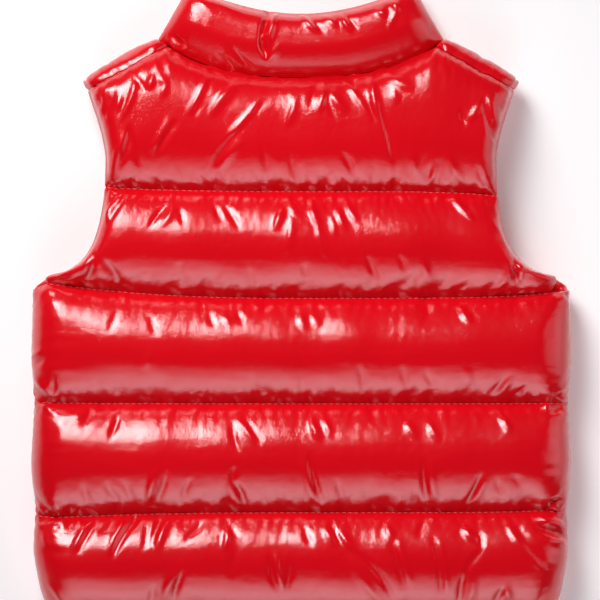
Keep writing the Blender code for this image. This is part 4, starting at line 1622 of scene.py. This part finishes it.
@dataclass
class PaddedBody:
    """Back and both fronts, sewn at the sides and over the shoulders."""

    back: BackGrid = field(default_factory=BackGrid)
    left: FrontGrid = field(default_factory=lambda: FrontGrid(-1))
    right: FrontGrid = field(default_factory=lambda: FrontGrid(1))
    puckers: tuple[Puckers, ...] = (
        Puckers(130.0, 0.004, 0.014, 0.0008, 0.0013, 0.16, 0.45, 0.5),
        Puckers(44.0, 0.012, 0.032, 0.0020, 0.0024, 0.07, 0.50, 0.72),
        Puckers(60.0, 0.018, 0.040, 0.0020, 0.0038, 0.10, 0.60, 0.92),
    )
    least_wall: float = 0.0010
    wave_count: int = 9
    wave_lengths: tuple[float, float] = (0.028, 0.075)
    wave_lean: float = 0.9
    wave_depth: float = 0.00016
    wave_seed: int = 41
    yoke_swell: float = 0.15
    closing_rows: int = 6
    edge_columns: float = 3.0

    def cloths(self) -> list[Cloth]:
        """The outer cloth of the three panels with the points that thread holds."""
        grid = self.back.surface(Face.OUTER)
        keep = np.ones((grid.shape[0] - 1, grid.shape[1] - 1), bool)
        back = Cloth("back", grid, keep, self.pin_rows(grid, keep), flip=False)
        back.seam = np.zeros(grid.shape[:2], bool)
        in_yoke = np.arange(len(grid)) > self.back.rows.quilt_row(len(QUILTS))
        back.swell = np.where(in_yoke, self.yoke_swell, 1.0)
        made = [back]
        rows = slice(0, self.back.rows.fold_rows + 1)
        loose = np.arange(rows.stop) % self.back.rows.baffle_cells != 0
        sides = (("front_left", self.left, 0), ("front_right", self.right, -1))
        for name, front, edge in sides:
            grid = front.surface(Face.OUTER)
            keep = front.keep()
            cloth = Cloth(name, grid, keep, self.pin_rows(grid, keep), front.side > 0)
            cloth.seam = np.zeros(grid.shape[:2], bool)
            shared = (grid[rows, -1] + back.grid[rows, edge]) / 2
            for panel, column in ((cloth, -1), (back, edge)):
                panel.grid[rows, column] = shared
                panel.pinned[rows, column] &= ~loose
                panel.seam[rows, column] = True
            made.append(cloth)
        return made

    def pin_rows(self, grid: Array, keep: Array) -> Array:
        """Points on stitched rows and on the cloth's edges.

        Args:
            grid: the panel's points.
            keep: which cells are cloth.

        Returns:
            One truth a point.
        """
        pinned = np.zeros(grid.shape[:2], bool)
        rows = self.back.rows
        for number in range(len(QUILTS) + 1):
            pinned[rows.quilt_row(number)] = True
        edges = np.unique(boundary_edges(grid_cells(keep)))
        pinned.reshape(-1)[edges] = True
        used = np.zeros(grid.shape[:2], bool)
        used.reshape(-1)[np.unique(grid_cells(keep))] = True
        return pinned | ~used

    def crease(self, cloth: Cloth) -> None:
        """Puts puckers and creases into a puffed panel, on its finer grid.

        Args:
            cloth: the outer cloth, after the filling has puffed it up.
        """
        outer = finer(cloth.grid)
        lining = self.lining(cloth)
        normals = grid_normals(outer) * (-1.0 if cloth.flip else 1.0)
        depth = self.pucker_depth(outer, cloth.name) + self.waves(outer)
        depth = depth * self.edge_hold(outer)
        creased = CreaseForm().depths(BACK_CREASES, outer[..., 0], outer[..., 1])
        depth += creased * facing_up(normals)
        outer = outer - normals * depth[..., None]
        if cloth.name == "back":
            outer[..., 2] = np.maximum(outer[..., 2], lining[..., 2] + self.least_wall)
        else:
            outer[..., 2] = np.maximum(outer[..., 2], 0.0)
        cloth.grid = outer

    def waves(self, grid: Array) -> Array:
        """Slow unevenness of the filling, as depths.

        It is a sum of sines of the distance along seeded directions near the rows' own,
        times |sin(pi * t)| ^ 0.5, t the step from one stitched line to the next.

        Args:
            grid: the panel's finer points.

        Returns:
            One depth a point, in metres.
        """
        draw = np.random.default_rng(self.wave_seed)
        total = np.zeros(grid.shape[:2])
        for _ in range(self.wave_count):
            length = draw.uniform(*self.wave_lengths)
            lean = draw.uniform(-self.wave_lean, self.wave_lean)
            phase = draw.uniform(0.0, 2.0 * np.pi)
            way = grid[..., 0] * np.cos(lean) + grid[..., 1] * np.sin(lean)
            total += np.sin(2.0 * np.pi * way / length + phase)
        rows = [fine_row(k) for k in range(len(QUILTS) + 1)] + [len(grid) - 1]
        step = np.interp(np.arange(len(grid)), rows, np.arange(len(rows)))
        held = np.abs(np.sin(np.pi * step)) ** 0.5
        return self.wave_depth * total * held[:, None]

    def lining(self, cloth: Cloth) -> Array:
        """The finer grid of a panel's lining."""
        source = {"back": self.back, "front_left": self.left, "front_right": self.right}
        return finer(source[cloth.name].surface(Face.LINING))

    def close_shoulders(self, cloths: dict[str, Cloth]) -> None:
        """Lays the fronts' last rows along the back's top edge, a seam's gap from it.

        The rows before them follow by a share that falls by a straight line to nothing.

        Args:
            cloths: the creased panels, by name.
        """
        edge = cloths["back"].grid[-1]
        edge = edge[np.argsort(edge[:, 0])]
        fade = np.linspace(0.0, 1.0, self.closing_rows + 1)[1:, None, None]
        for name, grid in (("front_left", self.left), ("front_right", self.right)):
            columns = np.nonzero(grid.keep(FINER)[-1])[0]
            columns = np.append(columns, columns[-1] + 1)
            last = cloths[name].grid[-1, columns]
            shift = np.zeros_like(last)
            shift[:, 1] = np.interp(last[:, 0], edge[:, 0], edge[:, 1]) + SEAM_GAP - last[:, 1]
            shift[:, 2] = np.interp(last[:, 0], edge[:, 0], edge[:, 2]) - last[:, 2]
            cloths[name].grid[-self.closing_rows :, columns] += fade * shift

    def side_normals(self, cloths: dict[str, Cloth]) -> dict[str, Array]:
        """Joins the panels' points on the side seams and finds their shared normals.

        A shared normal is the sum of both panels' own, made one long.

        Args:
            cloths: the creased panels, by name.

        Returns:
            Each panel's shared normals by name, zero away from the seam.
        """
        made = {name: np.zeros_like(cloth.grid) for name, cloth in cloths.items()}
        rows = slice(0, int(self.back.rows.fold_rows * FINER) + 1)
        for name, edge in (("front_left", 0), ("front_right", -1)):
            front, back = cloths[name], cloths["back"]
            turned = -1.0 if front.flip else 1.0
            middle = (front.grid[rows, -1] + back.grid[rows, edge]) / 2
            front.grid[rows, -1] = middle
            back.grid[rows, edge] = middle
            both = grid_normals(front.grid)[rows, -1] * turned
            both = both + grid_normals(back.grid)[rows, edge]
            both /= np.linalg.norm(both, axis=1, keepdims=True)
            both[[fine_row(k) for k in range(BODY_BAFFLES + 1)]] = 0.0
            made[name][rows, -1] = both
            made["back"][rows, edge] = both
        return made

    def build(self, cloth: Cloth, normals: Array) -> bpy.types.Object:
        """Closes a creased panel with its lining.

        Args:
            cloth: the outer cloth on its finer grid.
            normals: the normals that it shares with the next panels.

        Returns:
            The panel's object.
        """
        outer = cloth.grid
        if cloth.name == "back":
            keep = np.ones((outer.shape[0] - 1, outer.shape[1] - 1), bool)
        else:
            keep = (self.right if cloth.flip else self.left).keep(FINER)
        seam = self.finer_seam(cloth, outer.shape[:2])
        lining = centred(self.lining(cloth))
        mesh = closed_wall(cloth.name, centred(outer), lining, keep, cloth.flip, seam, normals)
        return link(mesh, cloth.name + "_padded")

    @staticmethod
    def finer_seam(cloth: Cloth, shape: tuple[int, int]) -> Array:
        """The sewn points on the finer grid: stitched rows, and edges up to the armhole.

        Args:
            cloth: the panel, with its sewn points on the simulated grid.
            shape: rows and columns of the finer one.

        Returns:
            One truth a point.
        """
        seam = np.zeros(shape, bool)
        seam[[fine_row(number) for number in range(1, len(QUILTS) + 1)]] = True
        for column in (0, -1):
            rows = np.nonzero(cloth.seam[:, column])[0]
            if len(rows):
                seam[: int(rows.max() * FINER) + 1, column] = True
        seam[-1] = True
        return seam

    def pucker_depth(self, grid: Array, name: str) -> Array:
        """Puckers beside every stitched row, and beside the hem and the top edge.

        Args:
            grid: the panel's finer points.
            name: the panel, which fixes the draws.

        Returns:
            One depth a point, in metres.
        """
        across, height = run_along(grid), run_along(grid.swapaxes(0, 1)).T
        rows = [fine_row(k) for k in range(len(QUILTS) + 1)] + [len(grid) - 1]
        seed = {"back": 100, "front_left": 200, "front_right": 300}[name]
        total = np.zeros(grid.shape[:2])
        for number, row in enumerate(rows):
            for kind, family in enumerate(self.puckers):
                drawn = seed + number + 10 * kind
                total += family.depths(across, height - height[row], drawn)
        return total

    def edge_hold(self, grid: Array) -> Array:
        """Share of a pucker that is left near the cloth's side edges: 0 on them."""
        columns = np.arange(grid.shape[1], dtype=float)
        near = np.minimum(columns, grid.shape[1] - 1 - columns)
        return ease(near / self.edge_columns)[None, :] * np.ones((grid.shape[0], 1))


@dataclass
class PaddedCollar:
    """The stand collar, pressed flat."""

    shape: CollarGrid = field(default_factory=CollarGrid)

    def cloth(self) -> Cloth:
        """The collar's outer cloth with its edges held."""
        grid = self.shape.surface(Face.OUTER)
        keep = np.ones((grid.shape[0] - 1, grid.shape[1] - 1), bool)
        pinned = np.zeros(grid.shape[:2], bool)
        pinned[[0, -1]] = True
        pinned[:, [0, -1]] = True
        return Cloth("collar", grid, keep, pinned, flip=False, ease=0.0, swell=0.2)

    def build(self, cloth: Cloth) -> bpy.types.Object:
        """Puts the tuck and the creases into the collar and closes it with its lining.

        Args:
            cloth: the outer cloth, after the filling has puffed it up.

        Returns:
            The collar's object.
        """
        outer = finer(cloth.grid)
        lining = finer(self.shape.surface(Face.LINING))
        keep = np.ones((outer.shape[0] - 1, outer.shape[1] - 1), bool)
        normals = grid_normals(outer)
        depth = CreaseForm().depths(COLLAR_CREASES, outer[..., 0], outer[..., 1])
        depth *= facing_up(normals)
        outer = outer - normals * depth[..., None]
        outer[..., 2] = np.maximum(outer[..., 2], 0.0)
        cloth.grid = outer
        seam = np.zeros(outer.shape[:2], bool)
        seam[0] = True
        mesh = closed_wall("collar", centred(outer), centred(lining), keep, False, seam)
        return link(mesh, "collar_padded")


# ---------- thread
def read_line(run: Array, values: Array, at: Array) -> Array:
    """Points or directions of a line, known at lengths along it, read at other lengths."""
    return np.stack([np.interp(at, run, values[:, k]) for k in range(3)], axis=1)


@dataclass(frozen=True)
class Stitching:
    """Lock stitches of satin thread, each a small arch that dips into the cloth."""

    length: float = 0.0031
    pitch: float = 0.0046
    radius: float = 0.00026
    arch: float = 0.00018
    rings: int = 7
    sides: int = 6
    below: float = 0.3
    tip: float = 0.98
    before_first: float = 0.7
    after_last: float = 0.5
    uneven: float = 0.04
    chord: float = 0.0015
    swing: float = 0.07
    sizes: tuple[float, float] = (0.86, 1.08)
    into_neck: float = 0.004
    seed: int = 7

    def one(self) -> tuple[Array, Array]:
        """A stitch along X: points on rings that shrink to both ends, and its triangles.

        Ring radius is radius * (1 - s^4)^0.5 and ring height arch * (1 - s^2), for s from
        -1 to 1 along the stitch.

        Returns:
            Points, and three point numbers a triangle.
        """
        s = np.linspace(-self.tip, self.tip, self.rings)
        angle = np.linspace(0.0, 2.0 * np.pi, self.sides, endpoint=False)
        thick = self.radius * np.sqrt(1.0 - s**4)
        rings = np.stack(
            [
                np.broadcast_to(s[:, None], (self.rings, self.sides)) * self.length / 2,
                thick[:, None] * np.cos(angle),
                thick[:, None] * np.sin(angle) + self.arch * (1.0 - s[:, None] ** 2),
            ],
            axis=2,
        ).reshape(-1, 3)
        tips = np.array([(-self.length / 2, 0.0, 0.0), (self.length / 2, 0.0, 0.0)])
        turn = np.arange(self.sides)
        ring, side = np.meshgrid(np.arange(self.rings - 1), turn, indexing="ij")
        first = (ring * self.sides + side).ravel()
        second = (ring * self.sides + (side + 1) % self.sides).ravel()
        over = np.stack([first, first + self.sides, second + self.sides], axis=1)
        under = np.stack([first, second + self.sides, second], axis=1)
        after = (turn + 1) % self.sides
        last = (self.rings - 1) * self.sides
        left = np.stack([np.full(self.sides, len(rings)), turn, after], axis=1)
        right = np.stack([np.full(self.sides, len(rings) + 1), last + after, last + turn], axis=1)
        faces = np.concatenate([over, under, left, right])
        return np.concatenate([rings, tips]), faces[:, ::-1]

    def along(self, line: Array, normals: Array, seed: int) -> tuple:
        """Stitches one after another along a line of points on the cloth.

        Args:
            line: points of the seam.
            normals: outward normals there.
            seed: fixes the small differences in length and direction.

        Returns:
            Points and triangles of all the stitches.
        """
        draw = np.random.default_rng(self.seed + seed)
        run = run_along(line[None])[0]
        middles = np.arange(
            self.pitch * self.before_first, run[-1] - self.pitch * self.after_last, self.pitch
        )
        middles = middles + draw.normal(0.0, self.pitch * self.uneven, len(middles))
        centre = read_line(run, line, middles)
        ahead = read_line(run, line, middles + self.chord)
        along = ahead - read_line(run, line, middles - self.chord)
        along /= np.linalg.norm(along, axis=1, keepdims=True)
        up = read_line(run, normals, middles)
        up -= along * (up * along).sum(axis=1, keepdims=True)
        up /= np.linalg.norm(up, axis=1, keepdims=True)
        beside = np.cross(up, along)
        along = along + beside * draw.normal(0.0, self.swing, (len(middles), 1))
        size = draw.uniform(*self.sizes, len(middles))
        points, faces = self.one()
        placed = (
            centre[:, None]
            + along[:, None] * (points[None, :, :1] * size[:, None, None])
            + beside[:, None] * points[None, :, 1:2]
            + up[:, None] * points[None, :, 2:]
        )
        offsets = np.arange(len(middles))[:, None, None] * len(points)
        return placed.reshape(-1, 3), (faces[None] + offsets).reshape(-1, 3)

    def build(self, cloths: dict[str, Cloth]) -> bpy.types.Object:
        """Sews the quilt lines all round and both shoulder seams.

        Args:
            cloths: the finished outer cloths, by name.

        Returns:
            The object of all the stitches.
        """
        lines = []
        under = int(FrontGrid.under_columns * FINER) + 1
        for name in ("back", "front_left", "front_right"):
            cloth = cloths[name]
            normals = grid_normals(cloth.grid) * (-1.0 if cloth.flip else 1.0)
            for number in range(1, len(QUILTS) + 1):
                row = fine_row(number)
                line = cloth.grid[row] * (1.0 - self.below) + cloth.grid[row - 1] * self.below
                normal = normals[row - 1]
                if name != "back" and number > BODY_BAFFLES:
                    line, normal = line[:under], normal[:under]
                lines.append((line, normal))
        back = cloths["back"]
        top = back.grid[-2]
        outside = np.abs(top[:, 0]) > FORM.neck_point[0] - self.into_neck
        for side in (-1.0, 1.0):
            chosen = outside & (top[:, 0] * side > 0.0)
            lines.append((top[chosen], np.tile((0.0, 0.0, 1.0), (int(chosen.sum()), 1))))
        points, faces, offset = [], [], 0
        for number, (line, normal) in enumerate(lines):
            made, joined = self.along(line, normal, number)
            points.append(made)
            faces.append(joined + offset)
            offset += len(made)
        mesh = mesh_of("stitches", centred(np.concatenate(points)), np.concatenate(faces))
        return link(mesh, "stitches")


# ---------- zip
@dataclass(frozen=True)
class ZipFastener:
    """Woven tapes and the closed rows of moulded teeth down the fronts."""

    chain_half: float = 0.0026
    chain_thick: float = 0.0024
    tape_thick: float = 0.0008
    low: float = 0.0096
    high: float = 0.3977
    pitch: float = 0.0026
    gap: float = 0.0003
    sewn_in: float = 0.0048
    cord_rise: float = 0.5
    cord_width: float = 0.0006
    tape_cells: tuple[int, int] = (150, 22)
    tooth: tuple[float, float] = (0.0036, 0.00115)
    tooth_round: float = 0.00028
    tooth_out: float = 0.0008
    end_gap: float = 0.0010

    def level(self, up: Array) -> Array:
        """Height of the zip's mid plane, on the stitched wall of the fronts.

        Args:
            up: heights above the hem, in the plane of the vest.

        Returns:
            Heights above the surface it lies on.
        """
        walls = (
            (0.0, FORM.hem_spread),
            (QUILTS[0].middle, FORM.quilt_spread),
            (QUILTS[-1].middle, FORM.quilt_spread),
            (FORM.front_neck_up, FORM.neck_spread),
            (CollarGrid.front_up, CollarGrid.top_spread),
        )
        return FORM.lay(up) - np.interp(up, *zip(*walls))

    def tape(self, side: int) -> bpy.types.Object:
        """One tape: a thin band beside the teeth, with a corded edge against them.

        Its thickness is tape_thick * (1 + cord_rise * exp(-(d / cord_width)^2)), d being
        the distance from the edge that carries the teeth. Its far edge is sewn into the
        front's own edge.

        Args:
            side: -1 for the left tape, 1 for the right one.

        Returns:
            The tape's object.
        """
        rows, columns = self.tape_cells
        up = np.linspace(self.low, self.high, rows)
        across = np.linspace(self.chain_half + self.gap, FORM.zip_edge + self.sewn_in, columns)
        cord = 1.0 + self.cord_rise * np.exp(-(((across - across[0]) / self.cord_width) ** 2))
        middle = self.level(up)[:, None] + 0.0 * across
        half = self.tape_thick / 2 * cord[None, :]
        place = np.broadcast_to(across * side, middle.shape)
        rise = np.broadcast_to(up[:, None], middle.shape)
        lower = np.stack([place, rise, middle - half], axis=2)
        upper = np.stack([place, rise, middle + half], axis=2)
        keep = np.ones((len(up) - 1, len(across) - 1), bool)
        name = "zip_tape_left" if side < 0 else "zip_tape_right"
        mesh = closed_wall(name, centred(upper), centred(lower), keep, side < 0)
        made = link(mesh, name + "_woven")
        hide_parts(name)
        return made

    def teeth(self) -> bpy.types.Object:
        """Interlocked teeth, alternately from the left and from the right.

        Returns:
            The object of all the teeth.
        """
        bm = bmesh.new()
        bmesh.ops.create_cube(bm, size=1.0)
        bmesh.ops.scale(bm, verts=bm.verts, vec=(*self.tooth, self.chain_thick))
        bmesh.ops.bevel(
            bm,
            geom=bm.edges[:],
            offset=self.tooth_round,
            segments=2,
            affect="EDGES",
            profile=0.5,
        )
        bmesh.ops.triangulate(bm, faces=bm.faces[:])
        one = np.array([vert.co[:] for vert in bm.verts])
        faces = np.array([[vert.index for vert in face.verts] for face in bm.faces])
        bm.free()
        up = np.arange(self.low + self.end_gap, self.high - self.end_gap, self.pitch / 2)
        side = np.where(np.arange(len(up)) % 2 == 0, 1.0, -1.0)
        place = np.stack([side * self.tooth_out, up, self.level(up)], axis=1)
        points = (place[:, None] + one[None]).reshape(-1, 3)
        joined = (faces[None] + np.arange(len(up))[:, None, None] * len(one)).reshape(-1, 3)
        made = link(mesh_of("teeth", centred(points), joined), "zip_chain_teeth")
        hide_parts("zip_chain")
        return made


# ---------- studio
FULL_SPREAD = 1.5  # a half spread past this is taken as a full one


@dataclass(frozen=True)
class Softbox:
    """A rectangular lamp: where it hangs, what it points at, its size and brightness."""

    name: str
    place: tuple[float, float, float]
    aim: tuple[float, float, float]
    size: tuple[float, float]
    radiance: float
    colour: tuple[float, float, float]
    half_spread: float = np.pi / 2

    def build(self) -> bpy.types.Object:
        """Hangs the lamp: power is radiance times pi times its area.

        A lamp with a half spread h is brightest along its axis and fades with the tangent
        of the angle to it, so its power is less by (tan h - h) / tan h.

        Returns:
            The lamp's object.
        """
        lamp = bpy.data.lights.new(self.name, "AREA")
        lamp.shape = "RECTANGLE"
        lamp.size, lamp.size_y = self.size
        lamp.spread = 2.0 * self.half_spread
        slope = np.tan(min(self.half_spread, FULL_SPREAD))
        share = 1.0 if self.half_spread > FULL_SPREAD else (slope - self.half_spread) / slope
        lamp.energy = self.radiance * share * np.pi * self.size[0] * self.size[1]
        lamp.color = self.colour
        made = bpy.data.objects.new(self.name, lamp)
        bpy.context.scene.collection.objects.link(made)
        made.location = self.place
        aim = Vector(self.aim) - Vector(self.place)
        made.rotation_euler = aim.to_track_quat("-Z", "Y").to_euler()
        return made


WHITE = (1.0, 1.0, 1.0)
ROSY = (1.0, 0.93, 1.0)


@dataclass(frozen=True)
class Studio:
    """Floor, lamps and the camera straight above the vest."""

    camera_height: float = 2.226
    camera_place: tuple[float, float] = (-0.0007, 0.0014)
    lens: float = 177.5
    sensor: float = 36.0
    world: float = 0.012
    glow: float = 0.15
    floor_half: float = 12.0
    lamps: tuple[Softbox, ...] = (
        Softbox("key", (-0.40, 0.78, 1.0), (0.1, -0.25, 0), (0.55, 0.78), 19.5, WHITE, 0.675),
        Softbox("fill", (0.0, -1.15, 0.50), (0.0, 0.0, 0.0), (1.9, 1.9), 3.3, ROSY, 0.64),
        Softbox("side", (1.25, 0.10, 0.35), (0.0, 0.0, 0.0), (1.2, 1.9), 1.45, ROSY, 0.77),
    )

    def build(self) -> None:
        """Sets floor, lamps, world, camera and the plain view transform."""
        scene = bpy.context.scene
        corners = np.array([(-1, -1, 0), (1, -1, 0), (1, 1, 0), (-1, 1, 0)], float)
        sheet = mesh_of("floor", corners * self.floor_half, np.array([[0, 1, 2, 3]]))
        floor = link(sheet, "floor")
        finish = PlainFinish((0.95, 0.95, 0.95), 0.75, grain=40.0, grain_depth=0.0001)
        paper = finish.build("paper")
        shader = paper.node_tree.nodes["Principled BSDF"]
        shader.inputs["Emission Color"].default_value = (*WHITE, 1.0)
        shader.inputs["Emission Strength"].default_value = self.glow
        floor.data.materials.append(paper)
        for lamp in self.lamps:
            lamp.build()
        world = bpy.data.worlds.new("studio")
        world.use_nodes = True
        background = world.node_tree.nodes["Background"]
        background.inputs["Color"].default_value = (*WHITE, 1.0)
        background.inputs["Strength"].default_value = self.world
        scene.world = world
        lens = bpy.data.cameras.new("camera")
        lens.lens = self.lens
        lens.sensor_width = self.sensor
        lens.clip_end = 20.0
        camera = bpy.data.objects.new("camera", lens)
        scene.collection.objects.link(camera)
        camera.location = (*self.camera_place, self.camera_height)
        scene.camera = camera
        scene.view_settings.view_transform = "Standard"


def main() -> None:
    """Builds the studio and the vest, piece by piece, and attaches each piece to the vest's body.
    """
    logging.basicConfig(level=logging.INFO, format="%(message)s")
    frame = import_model()
    shell = ShellFinish().build("lacquered_nylon")
    thread = PlainFinish((0.80, 0.14, 0.16), 0.7, specular=0.3).build("satin_thread")
    woven = PlainFinish((0.42, 0.006, 0.02), 0.8, stretch=(1.0, 3.0, 1.0)).build("woven_tape")
    moulded = PlainFinish((0.50, 0.008, 0.02), 0.35).build("moulded_teeth")
    metal = PlainFinish((0.62, 0.62, 0.64), 0.26, 1.0, stretch=(6.0, 0.6, 1.0)).build("metal")
    body = PaddedBody()
    collar = PaddedCollar()
    cloths = body.cloths() + [collar.cloth()]
    Filling().puff(cloths)
    panels = {cloth.name: cloth for cloth in cloths if cloth.name != "collar"}
    for panel in panels.values():
        body.crease(panel)
    body.close_shoulders(panels)
    shared = body.side_normals(panels)
    pieces = []
    for cloth in cloths:
        if cloth.name == "collar":
            made = collar.build(cloth)
        else:
            made = body.build(cloth, shared[cloth.name])
        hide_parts(cloth.name)
        pieces.append((made, shell))
    stitches = Stitching().build({cloth.name: cloth for cloth in cloths})
    pieces.append((stitches, thread))
    fastener = ZipFastener()
    pieces += [(fastener.tape(side), woven) for side in (-1, 1)]
    pieces.append((fastener.teeth(), moulded))
    for made, finish in pieces:
        made.data.materials.append(finish)
        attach(made, VEST_BODY)
        LOG.info("%s: %d faces", made.name, len(made.data.polygons))
    for name in ("zip_box", "zip_slider", "zip_pull"):
        for slot in frame["nodes"][name].material_slots:
            slot.material = metal
        LOG.info("%s: metal finish", name)
    Studio().build()


if __name__ == "__main__":
    main()
